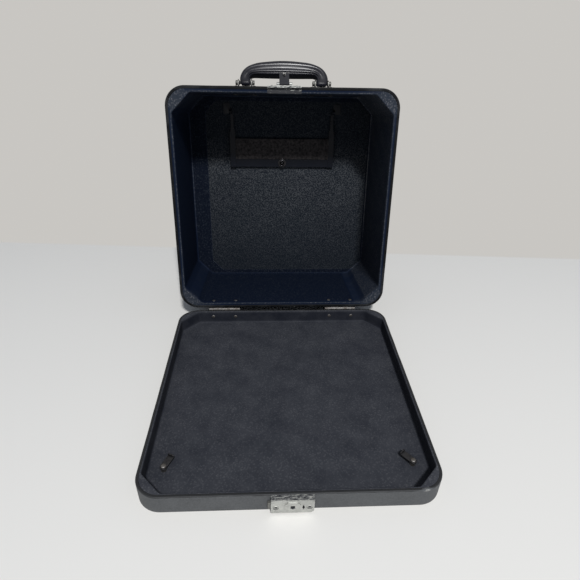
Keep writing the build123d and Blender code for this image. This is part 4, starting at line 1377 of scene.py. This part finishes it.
@dataclass
class Lid(Half):
    """Deep upper half: leatherette outside, dark walls and a speckled panel inside."""

    side: float = 8.5
    post_leg: float = 26.53
    lip: float = 4.2
    rim_round: float = 1.4
    lining_bend: float = 2.0
    top_round: float = 2.5
    flap_left: float = 29.0
    flap_right: float = 4.0
    flap_end: float = 8.0
    flap_lift: float = 0.35
    flap_leg: float = 18.0

    def cover(self) -> Object:
        """Leatherette over the top, down the walls and round the rim.

        Formula: rings grow from the middle of the top to the case's outline, turn over the top
        edge by a quarter circle, run down the wall and turn under the rim; the hidden side
        follows one sheet inside.

        Returns:
            The finished piece.
        """
        sheet, top, low, edge = CASE.sheet, CASE.lid_top, CASE.lid_rim, self.rim_round
        profile = np.concatenate([
            quarter(self.top_round, 7)[:, ::-1] * (1, -1) + (0, top),
            [(0.0, z) for z in np.linspace(top - self.top_round, low + 3.6, 23)[1:]],
            [(0.0, low + 2.4)],
            quarter(edge, 7) + (0, low),
            [(inset, low) for inset in np.linspace(edge, self.lip, 4)[1:]],
            [(self.lip, low + sheet), (sheet, low + sheet), (sheet, top - sheet)],
        ])
        lattice = np.concatenate([
            grown(case_ring(self.top_round), np.linspace(0.05, 1, 9)[:-1], top),
            wrapped(profile),
            grown(case_ring(sheet), (0.05,), top - sheet),
        ])
        walls = slice(9, 40)  # rows from the rounding of the top to that of the rim
        swell = np.minimum(ripple(lattice, 0.15, 48, 21), 0)[walls, :, None]
        lattice[walls, :, :2] *= 1 + swell / CASE.right
        x, y, z = np.moveaxis(lattice, -1, 0)
        # Rubbed along the edges, most at the rounded corners, and dark where it turns in.
        depth = np.minimum(np.abs(z - top), np.abs(z - low))
        outside = (np.abs(x) > CASE.right - 5) | (np.abs(y) > CASE.rear - 5)
        worn = bell(depth, 0.8, 1.0) * (outside | (depth > 0.1))
        rounded = ramp(np.hypot(x / CASE.right, y / CASE.rear), 1.12, 1.22)
        wear_and_painted_light = worn * (0.15 + 0.35 * rounded) + ripple(lattice, 0.10, 14, 6) * (worn > 0.1)
        wear_and_painted_light -= 1.1 * ramp(z, low + 3.2, low + 1.7)
        piece = Shape().lattice(lattice, wear_and_painted_light=wear_and_painted_light).piece("lid_leatherette", Place.LID)
        return finished(piece, "lid", self.finishes.lid_leatherette, "lid_cover")

    def wall_lining(self) -> Object:
        """Lining of the walls, with a flap on the panel and gussets over the corner posts.

        Formula: rings go from the flap's edge to the wall, round the corner, down the wall, over
        the rim's edge and out to the case's outline, and back one sheet behind.

        Returns:
            The finished piece.
        """
        low, bend, edge = CASE.lid_rim, self.lining_bend, self.lining_edge
        bay, under, out, end = self.outlines()
        inner = bay_ring(self.side + bend, self.post_leg - LEG_GROWTH * bend)
        shown = CASE.ceiling - self.flap_lift
        half_x = CASE.right - self.side - (self.flap_left + self.flap_right) / 2
        half_y = CASE.rear - self.side - self.flap_end
        flap = Ring(half_x, half_y, self.flap_leg, Corner.CUT, softness=3).points()
        flap = flap + ((self.flap_left - self.flap_right) / 2, 0.0)
        gusset = ramp(np.linalg.norm(end - out, axis=1), 5.5, 9.5)
        shares = np.linspace(0, 1, 12)[1:]
        narrow = 1.5 * bell(shares, 0, 0.30)[:, None] - 0.35
        a = np.linspace(0, QUARTER, 5)
        fall, sin = 1 - np.cos(a), np.sin(a)
        rings = Rings()
        # The flap's edge rings are marked high, a pale line that is a painted highlight of the edge
        # catching light.
        rings.between(flap, inner, 0, CASE.ceiling - 0.02, 1.2)
        rings.between(flap, inner, 0.012, shown, 0.9)
        rings.between(flap, inner, np.linspace(0.03, 0.97, 7), shown, -0.75)
        rings.between(inner, bay, sin, shown - bend * fall, 0.05)
        rings.between(bay, bay, 0, np.linspace(shown - bend, low + edge, 16)[1:-1], 0.02)
        rings.between(bay, out, fall, low + edge * (1 - sin), 0.35 + 0.25 * sin)
        rings.between(out, end, shares, low, gusset * 0.92 + (1 - gusset) * narrow)
        rings.between(under, end, (1.0, 0.0), low + CASE.sheet, 0.3)
        rings.between(under, under, 0, CASE.ceiling - 0.01, 0.0)
        lattice, wear_and_painted_light = rings.joined()
        x, y, z = np.moveaxis(lattice, -1, 0)
        shown_rim = (z < low + 0.01) & (np.arange(len(z)) < len(z) - 4)[:, None]
        z += np.abs(ripple(lattice, 0.14, 12, 31)) * shown_rim
        walls, turn = slice(9, 29), slice(9, 11)  # rows past the flap, and their first two
        # Painted light and shade: the lamp-lit left and rear walls are marked darker, the shaded
        # right and front walls lighter.
        tone = 0.6 * (x > 120) + 0.32 * (y < -120) - 0.25 * (x < -150) - 0.5 * (y > 150)
        wear_and_painted_light[walls] += tone[walls]
        # A pale line runs along the corner between each side wall and the panel: a painted
        # highlight of the lining's edge catching light, stronger on the shaded right side.
        line = np.sqrt(ramp(np.abs(y + 20), 110, 0)) * (np.abs(x) > 140)
        wear_and_painted_light[turn] += (line * (1.15 + 0.45 * (x > 0)))[turn]
        wear_and_painted_light += ripple(lattice, 0.08, 34, 33) * (wear_and_painted_light > 0.2)
        shape = Shape().lattice(lattice, True, wear_and_painted_light)
        piece = shape.piece("lid_wall_lining_paper", Place.LID)
        return finished(piece, "lid", self.finishes.lid_lining, "lid_wall_lining")

    def panel_lining(self) -> Object:
        """Speckled cloth on the panel, a closed sheet with a faint unevenness.

        Formula: rings grow from the middle to the bay's outline, and come back one sheet behind.

        Returns:
            The finished piece.
        """
        outline = bay_ring(self.side - CASE.sheet + 0.02, self.post_leg + 0.45)
        shares = np.linspace(0.04, 1, 26)
        front = grown(outline, shares, CASE.ceiling)
        front[..., 2] += np.abs(ripple(front, 0.12, 60, 41)) * (shares < 0.98)[:, None]
        back = grown(outline, (1.0, 0.04), CASE.ceiling + CASE.sheet)
        lattice = np.concatenate([front, back])
        # Painted shadow: near the front wall, which shades this part of the panel, the mark takes
        # the specks away; the panel also darkens towards the rear.
        painted_shadow_and_rear_dark = 1.25 * ramp(lattice[..., 1], -40, 130) + 1.1 * ramp(lattice[..., 1], -60, -90)
        piece = Shape().lattice(lattice, wear_and_painted_light=painted_shadow_and_rear_dark).piece("lid_panel_cloth", Place.LID)
        return finished(piece, "lid", self.finishes.panel_cloth, "lid_panel_lining")

    def build(self) -> list[Object]:
        """All coverings of the lid."""
        return [self.cover(), self.wall_lining(), self.panel_lining()]


# ------------------------------------------------------------------ handle
@dataclass
class Handle(Fitting):
    """Moulded grip with three lengthwise ribs, its pins, clevises and backing plates."""

    post: float = 14.8
    heel: float = 4.2
    reach: float = 29.8
    height: float = 21.0
    depth: float = 21.0
    crown: float = 157.0
    shoulder: float = 20.0
    finger_round: float = 5.4
    groove: float = 1.3
    groove_width: float = 5.5
    groove_angles: tuple[int, ...] = (-92, 92, -121, 121)
    right_length: float = 1.028
    right_lift: float = 0.014
    pin_radius: float = 2.0
    collar_radius: float = 3.4
    ear_inside: float = 8.9
    ear_sheet: float = 1.5
    sleeve: float = 3.3
    head_inside: float = 12.4
    head_radius: float = 3.6

    def outlines(self) -> tuple[Points, Points]:
        """Outer and inner line of the grip in the plane of its arch, point by point.

        Formula: both are a straight post, a round, a top and the mirror of these; the outer top
        is an arc of the crown's radius, the inner one a shallow curve that hangs in the middle.

        Returns:
            Two arrays of x and height above the pivot, from the left heel to the right one.
        """
        half = (CASE.handle_spacing + self.post) / 2
        inside = (CASE.handle_spacing - self.post) / 2
        r, f, crown, heel = self.shoulder, self.finger_round, self.crown, self.heel
        rise = math.sqrt((crown - r) ** 2 - (half - r) ** 2)
        centre = rise + self.reach - crown
        tip = math.atan2(rise, r - half)
        roof = self.reach - self.height
        up, tops, rounds = np.linspace(0, 1, 12, endpoint=False)[:, None], 34, 18
        outer = np.concatenate([
            (-half, -heel) + up * (0, centre + heel),
            arc(r - half, centre, r, np.linspace(math.pi, tip, rounds, endpoint=False)),
            arc(0, self.reach - crown, crown, np.linspace(tip, QUARTER, tops)),
        ])
        # The top swells a little over each shoulder, and the posts draw in towards their heels.
        swell = 1.25 * bell(np.abs(outer[:, 0]), 40, 14) - 0.1
        outer[:, 1] += ramp(outer[:, 1], 12, 22) ** 2 * swell
        outer[:, 0] += 3.0 * ramp(outer[:, 1], 7, -4) ** 2
        x = np.linspace(f - inside, 0, tops)
        sag = 0.7 * (x / inside) ** 2 * (1 - (x / inside) ** 8)
        inner = np.concatenate([
            (-inside, -heel) + up * (0, roof - f + heel),
            arc(f - inside, roof - f, f, np.linspace(math.pi, QUARTER, rounds, endpoint=False)),
            np.stack([x, roof + sag], -1),
        ])
        right = outer[-2::-1] * (-self.right_length, 1.0)
        right[:, 1] *= 1 + self.right_lift * ramp(right[:, 0], 0, 35)
        return np.concatenate([outer, right]), np.concatenate([inner, inner[-2::-1] * (-1, 1)])

    def grip(self) -> Object:
        """Ribbed grip.

        Formula: at each pair of outline points a superellipse spans the gap between them and the
        depth at that height; two grooves on each flank, bell curves of the section's angle, leave
        three ribs along the top.

        Returns:
            The finished piece.
        """
        outer, inner = self.outlines()
        middle, half = (outer + inner) / 2, (outer - inner) / 2
        height = middle[:, 1]
        share = ramp(height, 0, self.reach - self.height / 2)
        low = np.clip(-height / self.heel, 0, 0.995)
        depth = self.heel + (self.depth / 2 - self.heel) * share
        depth = np.where(height < 0, self.heel * np.sqrt(1 - low**2), depth)
        a = np.linspace(0, TURN, 120, endpoint=False)
        power = 2 / (3.4 + 0.6 * share)[:, None]
        across, along = (np.sign(v) * np.abs(v) ** power for v in (np.cos(a), np.sin(a)))
        cut = np.zeros_like(a)
        for angle in self.groove_angles:
            gap = (np.degrees(a) - angle + 180) % 360 - 180
            cut += np.exp(-np.abs(gap / self.groove_width) ** 1.5)
        size = np.linalg.norm(half, axis=1)[:, None]
        keep = 1 - self.groove * cut * ramp(height, 4, 12)[:, None] / size
        x, up = (middle[:, k, None] + half[:, k, None] * across * keep for k in (0, 1))
        deep = depth[:, None] * along * keep
        y = CASE.front - CASE.handle_out - up
        rows = np.stack([CASE.fitting_x + x, y, CASE.handle_z + deep], -1)
        piece = Shape().lattice(rows).piece("ribbed_grip", Place.HANDLE)
        return finished(piece, "handle", self.finishes.handle_plastic, "handle_grip")

    def pins(self) -> Object:
        """Domed pins with their collars and sleeves, turned from one mirrored profile.

        Returns:
            The finished piece.
        """
        pin, head, first = self.pin_radius, self.head_radius, self.head_inside
        start, ear = self.post / 2 + 0.3, self.ear_inside
        near, far = ear + self.ear_sheet + 0.05, first - 0.2
        collar = [(pin, start), (self.collar_radius, start), (self.collar_radius, ear), (pin, ear)]
        sleeve = [(pin, near), (self.sleeve, near), (self.sleeve, far), (pin, far)]
        dome = [(pin, 0.0), (head - 0.4, 0.0), (head, 0.25), (head, 0.8)]
        dome += [(head - 0.5, 1.25), (pin, 1.5), (0.3, 1.6)]
        half = np.array(collar + sleeve + [(r, first + up) for r, up in dome])
        # Marks darken the collars, the heads' undersides and, less, the sleeves: painted shade in
        # the gaps between post, ear and head.
        dirt = np.repeat((1.1, 0.5, 1.1, 0.25), (len(collar), len(sleeve), 1, len(dome) - 1))
        profile = np.concatenate([half[::-1] * (1, -1), half])
        marks = np.concatenate([dirt[::-1], dirt])
        pins = Shape()
        for side in (-1, 1):
            x = CASE.fitting_x + side * CASE.handle_spacing / 2
            at = (x, CASE.front - CASE.handle_out, CASE.handle_z)
            pins.lathe(profile, at, (1, 0, 0), wear_and_painted_light=marks)
        piece = pins.piece("grip_pins", Place.LID, 40)
        return finished(piece, "lid", self.finishes.clevis_nickel, "handle_pins")

    def build(self) -> list[Object]:
        """The grip, its clevises and backing plates, and its pins.

        Returns:
            The finished pieces.
        """
        nickel, enamel = self.finishes.clevis_nickel, self.finishes.black_enamel
        grip = self.grip()
        clevises = [
            eased(f"handle_clevis_{side}", f"clevis_{side}", "lid", nickel, 0.3, grime_on_clevis)
            for side in ("left", "right")
        ]
        plates = eased("handle_backing_plates", "backing_plates", "lid", enamel, 0.3)
        return [grip, *clevises, plates, self.pins()]


# ------------------------------------------------------------------ lock and hasp
@dataclass
class Lock(Fitting):
    """Pressed pan on the front of the tray, its bolt, its spring and its cup rivets."""

    rivet_spacing: float = 35.0
    rivet_z: float = 12.0
    rivet_radius: float = 3.4
    depth: float = 6.0

    def spring(self) -> Object:
        """Return spring, from the bolt on its left to the post on its right: a merged copy of its
        node, hung on no body.

        Returns:
            The finished piece.
        """
        piece = merged_copy("lock_spring", "return_spring")
        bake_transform(piece)
        log.info("%s: %d faces, bends from lock_bolt to base", piece.name, len(piece.data.polygons))
        return dressed(piece, self.finishes.black_steel, "lock_spring")

    def cup_rivets(self) -> Object:
        """Rivets with a rolled rim and a sunk middle, each turned from one profile.

        Returns:
            The finished piece.
        """
        r = self.rivet_radius
        profile = [
            (0.2, -0.9), (1.4, -0.86), (2.0, -0.5), (2.5, 0.0), (2.9, 0.25), (3.15, 0.34),
            (3.3, 0.28), (r, 0.12), (r, 0.0), (2.5, 0.0), (1.6, -1.6), (1.6, -11.0),
            (2.8, -11.0), (2.8, -11.4), (0.2, -11.8),
        ]
        # The sunk middle is marked dark: painted shade in the hollow.
        marks = np.zeros(len(profile))
        marks[:5] = (1.0, 1.0, 1.0, 0.9, 0.6)
        rivets = Shape()
        for side in (-1, 1):
            x = CASE.fitting_x + side * self.rivet_spacing / 2
            at = (x, CASE.front - self.depth, self.rivet_z)
            rivets.lathe(profile, at, (0, -1, 0), wear_and_painted_light=marks)
        piece = rivets.piece("cup_rivets", Place.TRAY, 50)
        return finished(piece, "base", self.finishes.lock_nickel, "lock_rivets")

    def build(self) -> list[Object]:
        """Pan, bolt, spring and rivets.

        Returns:
            The finished pieces.
        """
        pan, bolt = self.finishes.lock_nickel, self.finishes.clevis_nickel
        return [
            eased("lock_face", "lock_pan", "base", pan, 0.45, grime_on_lock),
            eased("lock_bolt", "lock_bolt_tab", "lock_bolt", bolt, 0.25, bolt_grime_and_inner_shade),
            self.spring(),
            self.cup_rivets(),
        ]


@dataclass
class Hasp(Fitting):
    """Strike plate over the lid's rim and the cranked tongue that hangs on it."""

    width: float = 13.8
    sheet: float = 1.2
    knuckle: float = 2.0
    inside: float = 7.1
    foot: float = 8.3
    lip: float = 2.4
    catch_down: float = 15.0

    def tongue(self) -> Object:
        """Tongue rolled round its pin, cranked outwards and bent into a finger lip.

        Formula: a strip follows a path of an arc round the pin, two straight runs and the lip.

        Returns:
            The finished piece.
        """
        thin, top = self.sheet / 2, CASE.hasp_z
        turn = np.radians(np.linspace(-70, -350, 22))
        roll = arc(CASE.hasp_out, top, self.knuckle - thin, turn)
        middle, foot = self.inside + thin, self.foot + thin
        corners = [roll[-1], (middle, top - 3.0), (middle, foot), (middle + thin + self.lip, foot)]
        line = soft_path([(0.0, out, z) for out, z in corners])[1:, 1:]
        out, z = np.concatenate([roll, line]).T
        path = np.column_stack([np.full(len(z), CASE.fitting_x), CASE.front - out, z])
        left = run_length(path[::-1])[::-1]
        marks = np.where(left < 3.2, 0.45, np.where(left > 19.0, 1.2, 1.0))
        half = round_end(left, self.width / 2, 2.0)
        shape = Shape().strip(path, (1, 0, 0), half, thin, marks)
        self.catch(shape)
        piece = shape.piece("hasp_tongue", Place.HASP, 50)
        return finished(piece, "hasp", self.finishes.hasp_nickel, "hasp")

    def catch(self, shape: Shape) -> None:
        """Add the catch that enters the lock: a notched stub behind the tongue.

        Args:
            shape: shape that it is added to.
        """
        sides = np.array([-1.6, 1.6, 1.6, 0.3, 0.3, 1.6, 1.6, -1.6])
        outs = np.array([7.3, 7.3, 5.0, 5.0, 2.9, 2.9, 1.4, 1.4])
        outline = np.column_stack([CASE.fitting_x + sides, CASE.front - outs])
        z, half = CASE.hasp_z - self.catch_down, 1.1
        shape.plate(outline, z - half, z + half, 0.15)
        shape.wear_and_painted_light[-1][:] = 0.5

    def build(self) -> list[Object]:
        """Strike plate and tongue.

        Returns:
            The finished pieces.
        """
        nickel = self.finishes.lock_nickel
        return [
            eased("strike_plate", "strike", "lid", nickel, 0.3, grime_on_strike),
            self.tongue(),
        ]


# ------------------------------------------------------------------ inside fittings
@dataclass
class PaperHolder(Fitting):
    """Enamelled frame that swings down from the panel, with its board and snap."""

    centre: float = 2.0
    half: float = 84.9
    z: float = 163.7
    sheet: float = 0.6
    end: float = -42.7
    bar: float = 12.7
    board_length: float = 34.0
    board_sheet: float = 1.6
    snap: float = 7.3

    def board(self) -> Object:
        """Fibre board with softened, slightly uneven edges.

        Returns:
            The finished piece.
        """
        low, long = self.z + self.sheet, self.board_length
        middle = self.end - self.bar - 0.15 - long / 2
        ring = Ring(self.half, long / 2, 1.5, side_points=30, corner_points=5).points()
        outline = ring + (self.centre, middle)
        outline -= 0.12 * np.abs(ripple(at_height(outline, 0), 1.0, 7, 51))[:, None] * np.sign(ring)
        shape = Shape().plate(outline, low, low + self.board_sheet, 0.3)
        piece = shape.piece("paper_board", Place.LID, 50)
        return finished(piece, "paper_holder", self.finishes.fibre_board, "holder_board")

    def snap_cap(self) -> Object:
        """Ring-shaped cap, its profile taken round the snap's axis.

        Formula: each (radius, depth) goes round as radius times (cos a, sin a), down by the depth.

        Returns:
            The finished piece.
        """
        cap = np.array([
            (3.1, 0.0), (3.1, 1.2), (3.5, 1.7), (4.3, 1.8), (5.0, 1.5), (5.4, 1.15), (6.0, 1.1),
            (6.7, 1.3), (7.1, 1.1), (self.snap, 0.6), (self.snap, 0.0),
        ])
        a = np.linspace(0, TURN, 40, endpoint=False)
        round_axis = np.column_stack([np.cos(a), np.sin(a), 0 * a])
        at = (self.centre, self.end - self.bar / 2, self.z + self.sheet)
        rows = at + cap[:, :1, None] * round_axis - cap[:, 1:, None] * np.array([0, 0, 1.0])
        piece = Shape().lattice(rows, True).piece("snap_ring", Place.LID, 60)
        return finished(piece, "paper_holder", self.finishes.snap_chrome, "snap_cap")

    def snap_stud(self) -> Object:
        """Domed stud inside the cap, turned from a profile.

        Returns:
            The finished piece.
        """
        r, collar, foot = 2.4, self.z + 1.8 + 0.3, CASE.ceiling
        tip = self.z + self.sheet - 1.8 - 1.4
        a = np.linspace(0, QUARTER, 7)
        dome = np.column_stack([r * np.sin(a) + 0.02, tip + r * (1 - np.cos(a))])
        base = [(2.1, tip + 3.4), (2.1, collar - 0.6), (4.2, collar), (4.2, foot - 0.5)]
        base += [(4.6, foot), (0.3, foot)]
        at = (self.centre, self.end - self.bar / 2, 0)
        shape = Shape().lathe(np.concatenate([dome, base]), at, (0, 0, 1))
        piece = shape.piece("snap_post", Place.LID, 50)
        return finished(piece, "lid", self.finishes.snap_chrome, "snap_stud")

    def build(self) -> list[Object]:
        """Frame with eased edges, board and snap.

        Returns:
            The finished pieces.
        """
        frame_pieces = [
            eased(f"holder_{part}", f"frame_{part}", body, self.finishes.black_enamel, 0.25)
            for part, body in (
                ("arm_left", "paper_holder"), ("arm_right", "paper_holder"),
                ("bar", "paper_holder"), ("brackets", "lid"),
            )
        ]
        return [*frame_pieces, self.board(), self.snap_cap(), self.snap_stud()]


@dataclass
class HoldDownClips(Fitting):
    """Two swivelling clips with a raised thumb end, each on a shouldered screw."""

    x: float = 141.5
    y: float = -118.5
    low: float = 9.95
    sheet: float = 1.5
    width: float = 8.0
    length: float = 20.0
    seat: float = 9.8
    neck: float = 11.6

    def clip(self, name: str, side: int, degrees: float) -> Object:
        """One clip: a strip rounded about its screw and bent up at its end.

        Args:
            name: left or right.
            side: -1 for the left clip, 1 for the right one.
            degrees: how far it is turned inwards.

        Returns:
            The finished piece.
        """
        half, thin = self.width / 2, self.sheet / 2
        z, end = self.low + thin, self.length - half - thin
        path = soft_path([(0, -half, z), (0, end, z), (0, end, z + 2 * self.sheet - 0.05)])
        run = run_length(path)
        ends = round_end(run + 0.15, half, half), round_end(run[-1] - run, half, 1.2)
        c, s = math.cos(math.radians(side * degrees)), math.sin(math.radians(side * degrees))
        place = (side * self.x, self.y, 0)
        path = np.stack([-s * path[:, 1], c * path[:, 1], path[:, 2]], -1) + place
        shape = Shape().strip(path, (c, s, 0), np.maximum(np.minimum(*ends), 0.8), thin)
        piece = shape.piece(f"swivel_clip_{name}", Place.TRAY, 50)
        steel = self.finishes.black_steel
        return finished(piece, f"clip_{name}", steel, f"hold_down_clip_{name}")

    def screws(self) -> Object:
        """Screws turned from one profile, with a domed head.

        Returns:
            The finished piece.
        """
        seat, neck = self.seat, self.neck
        profile = [
            (0.3, 0.8), (1.4, 0.8), (1.4, 4.8), (3.2, 4.8), (3.2, seat), (2.0, seat), (2.0, neck),
            (3.2, neck), (3.2, neck + 0.7), (2.8, neck + 1.2), (1.8, neck + 1.5), (0.4, neck + 1.6),
        ]
        shape = Shape()
        for x in (-self.x, self.x):
            shape.lathe(profile, (x, self.y, 0), (0, 0, 1))
        piece = shape.piece("clip_screws", Place.TRAY, 40)
        return finished(piece, "base", self.finishes.steel, "hold_down_screws")

    def build(self) -> list[Object]:
        """Both clips and their screws."""
        return [self.clip("left", -1, 24.0), self.clip("right", 1, 40.0), self.screws()]


@dataclass
class Rivets(Fitting):
    """Domed rivets of the hinges, the handle brackets and the strike plate."""

    radius: float = 2.8
    shank: float = 1.5
    from_rim: float = 10.0
    hinge_reach: float = 18.0
    bracket_reach: float = 13.4
    strike_reach: float = 17.5

    def row(self, shape: Shape, xs: list[float], z: float, inner: float, outer: float) -> None:
        """Add rivets through a front or rear wall, domed at both ends.

        Args:
            shape: shape that they are added to.
            xs: x of each rivet.
            z: height of the row.
            inner: y of the seat inside the case.
            outer: y of the seat outside the case.
        """
        long = abs(outer - inner)
        dome = np.array([(0.2, 0.80), (1.2, 0.74), (2.0, 0.56), (2.6, 0.26), (self.radius, 0.0)])
        shank = [(self.shank, 0.0), (self.shank, long)]
        profile = np.concatenate([dome * (1, -1), shank, dome[::-1] + (0, long)])
        for x in xs:
            shape.lathe(profile, (x, inner, z), (0, math.copysign(1.0, outer - inner), 0), 20)

    def build(self) -> list[Object]:
        """Rivets of the tray and of the lid.

        Returns:
            The finished pieces.
        """
        steel, rear, front = self.finishes.steel, CASE.rear, CASE.front
        ends, clevis, x = (-1, 1), CASE.handle_spacing / 2, CASE.fitting_x
        hinge = [side * CASE.hinge_x + end * self.hinge_reach for side in ends for end in ends]
        bracket = [x + side * clevis + end * self.bracket_reach for side in ends for end in ends]
        strike = [x + end * self.strike_reach for end in ends]
        tray, lid, lid_row = Shape(), Shape(), CASE.lid_rim + self.from_rim
        self.row(tray, hinge, CASE.rim - self.from_rim, rear - Tray.side, rear + 1.2)
        self.row(lid, hinge, lid_row, rear - Lid.side, rear + 1.2)
        self.row(lid, bracket, CASE.handle_z, front + Lid.side + 1.5, front - 1.5)
        self.row(lid, strike, lid_row, front + Lid.side, front - 1.2)
        tray_piece = tray.piece("tray_rivets", Place.TRAY, 60)
        return [
            finished(tray_piece, "base", steel, "base_hinge_rivets"),
            finished(lid.piece("lid_rivet_heads", Place.LID, 60), "lid", steel, "lid_rivets"),
        ]


@dataclass
class Hinges(Fitting):
    """Butt hinges on the rear of the case."""

    def build(self) -> list[Object]:
        """Leaves with eased edges and pins with domed ends.

        Returns:
            The finished pieces.
        """
        steel, pieces = self.finishes.steel, []
        tip = np.array([(0.1, 25.0), (0.8, 24.85), (1.1, 24.4)])
        profile = np.concatenate([tip * (1, -1), tip[::-1]])
        for name, side in (("left", -1), ("right", 1)):
            for body in ("base", "lid"):
                node = f"{body}_hinge_leaf_{name}"
                pieces.append(eased(node, f"{body}_leaf_{name}", body, steel, 0.2))
            at = (side * CASE.hinge_x, CASE.rear + CASE.hinge_out, CASE.rim)
            pin = Shape().lathe(profile, at, (1, 0, 0), 16)
            piece = pin.piece(f"hinge_wire_{name}", Place.TRAY, 50)
            pieces.append(finished(piece, "base", steel, f"hinge_pin_{name}"))
        return pieces


# ------------------------------------------------------------------ studio
@dataclass
class Studio:
    """Camera, lamp, pale table and background."""

    focal: float = 452.2394637151945
    image: float = 580.0
    pitch: float = 0.5637875626163016
    yaw: float = 0.05661781331934056
    roll: float = -0.024562288534366903
    eye: Triple = (-0.023253532909, -0.445292537845, 0.450424242406)
    aim: Triple = (0.0, 0.1, 0.12)
    table: Triple = (0.80, 0.785, 0.748)
    wall: Triple = (0.58, 0.565, 0.54)
    wall_y: float = 0.423
    wall_slope: float = 0.067
    fade: float = 0.006
    daylight: Triple = (0.84, 0.94, 1.12)
    daylight_strength: float = 0.22
    lamp_eye: Triple = (0.308, -1.928, 2.71)
    lamp_power: float = 98.0
    lamp_side: float = 0.29

    def camera(self) -> None:
        """Camera from its place and its three angles."""
        (sin_yaw, cos_yaw), (sin_pitch, cos_pitch), (sin_roll, cos_roll) = (
            (math.sin(angle), math.cos(angle)) for angle in (self.yaw, self.pitch, self.roll)
        )
        forward = Vector((sin_yaw * cos_pitch, cos_yaw * cos_pitch, -sin_pitch))
        level = Vector((cos_yaw, -sin_yaw, 0.0))
        down = forward.cross(level)
        right = level * cos_roll + down * sin_roll
        up = level * sin_roll - down * cos_roll
        data = bpy.data.cameras.new("camera")
        data.sensor_width = 36.0
        data.lens = self.focal / self.image * data.sensor_width
        data.clip_start = 0.01
        camera = linked("camera", data)
        matrix = Matrix((right, up, -forward)).transposed().to_4x4()
        matrix.translation = self.eye
        camera.matrix_world = matrix
        bpy.context.scene.camera = camera

    def lamp(self) -> None:
        """Square lamp turned to the middle of the case."""
        data = bpy.data.lights.new("key", "AREA")
        data.energy, data.size = self.lamp_power, self.lamp_side
        lamp = linked("key", data)
        lamp.location = self.lamp_eye
        way = Vector(self.aim) - lamp.location
        lamp.rotation_euler = way.to_track_quat("-Z", "Y").to_euler()

    def floor(self) -> None:
        """Pale table whose far part takes the tone of the background."""
        g = Graph(bpy.data.materials.new("pale_table"))
        far = g.node("SeparateXYZ", Vector=g.where).outputs
        line = g.sum(far["Y"], far["X"], share_b=self.wall_slope)
        beyond = g.steps(line, self.wall_y, self.wall_y + self.fade)
        seen = g.node("LightPath").outputs["Is Camera Ray"]
        mesh = bpy.data.meshes.new("table")
        mesh.from_pydata([(-4, -4, 0), (4, -4, 0), (4, 4, 0), (-4, 4, 0)], [], [(0, 1, 2, 3)])
        mesh.materials.append(g.finish(self.table, 0.6, Specular_IOR_Level=0.2))
        shader, glow = g.tree.nodes["Principled BSDF"], g.node("Emission", Color=self.wall)
        g.show(g.times(beyond, seen), shader, glow)
        linked("table", mesh)

    def world(self) -> None:
        """Even light from all round, seen by the camera and by gloss as the background's tone."""
        bpy.context.scene.world = bpy.data.worlds.new("room")
        g = Graph(bpy.context.scene.world)
        light = g.tree.nodes["Background"]
        g.put(light.inputs["Color"], self.daylight)
        g.put(light.inputs["Strength"], self.daylight_strength)
        path = g.node("LightPath").outputs
        seen = g.join(Blend.MAXIMUM, path["Is Camera Ray"], path["Is Glossy Ray"])
        g.show(seen, light, g.node("Background", Color=self.wall))

    def build(self) -> None:
        """Set up everything around the case."""
        self.camera()
        self.floor()
        self.world()
        self.lamp()
        bpy.context.scene.view_settings.view_transform = "Standard"


# ------------------------------------------------------------------ whole case
def dress_frame(finishes: Finishes) -> None:
    """Give every node of the frame the finish of its slot.

    Args:
        finishes: every finish of the case.
    """
    for name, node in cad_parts.items():
        slot = slot_of(name)
        # The back plate and key barrel inside the lock's pan take blackened steel as painted shade.
        shaded_inside_lock = name in ("lock_back", "key_barrel")
        node.data.materials.clear()
        node.data.materials.append(finishes.black_steel if shaded_inside_lock else finishes.by_slot(slot))


def main() -> None:
    """Build the studio and every sub-assembly in order."""
    logging.basicConfig(level=logging.INFO, format="%(message)s")
    Studio().build()
    finishes = Finishes()
    dress_frame(finishes)
    for part in (Tray, Lid, Hinges, Rivets, Lock, Hasp, Handle, PaperHolder, HoldDownClips):
        pieces = part(finishes).build()
        log.info("%s: %d pieces", part.__name__, len(pieces))


if __name__ == "__main__":
    main()
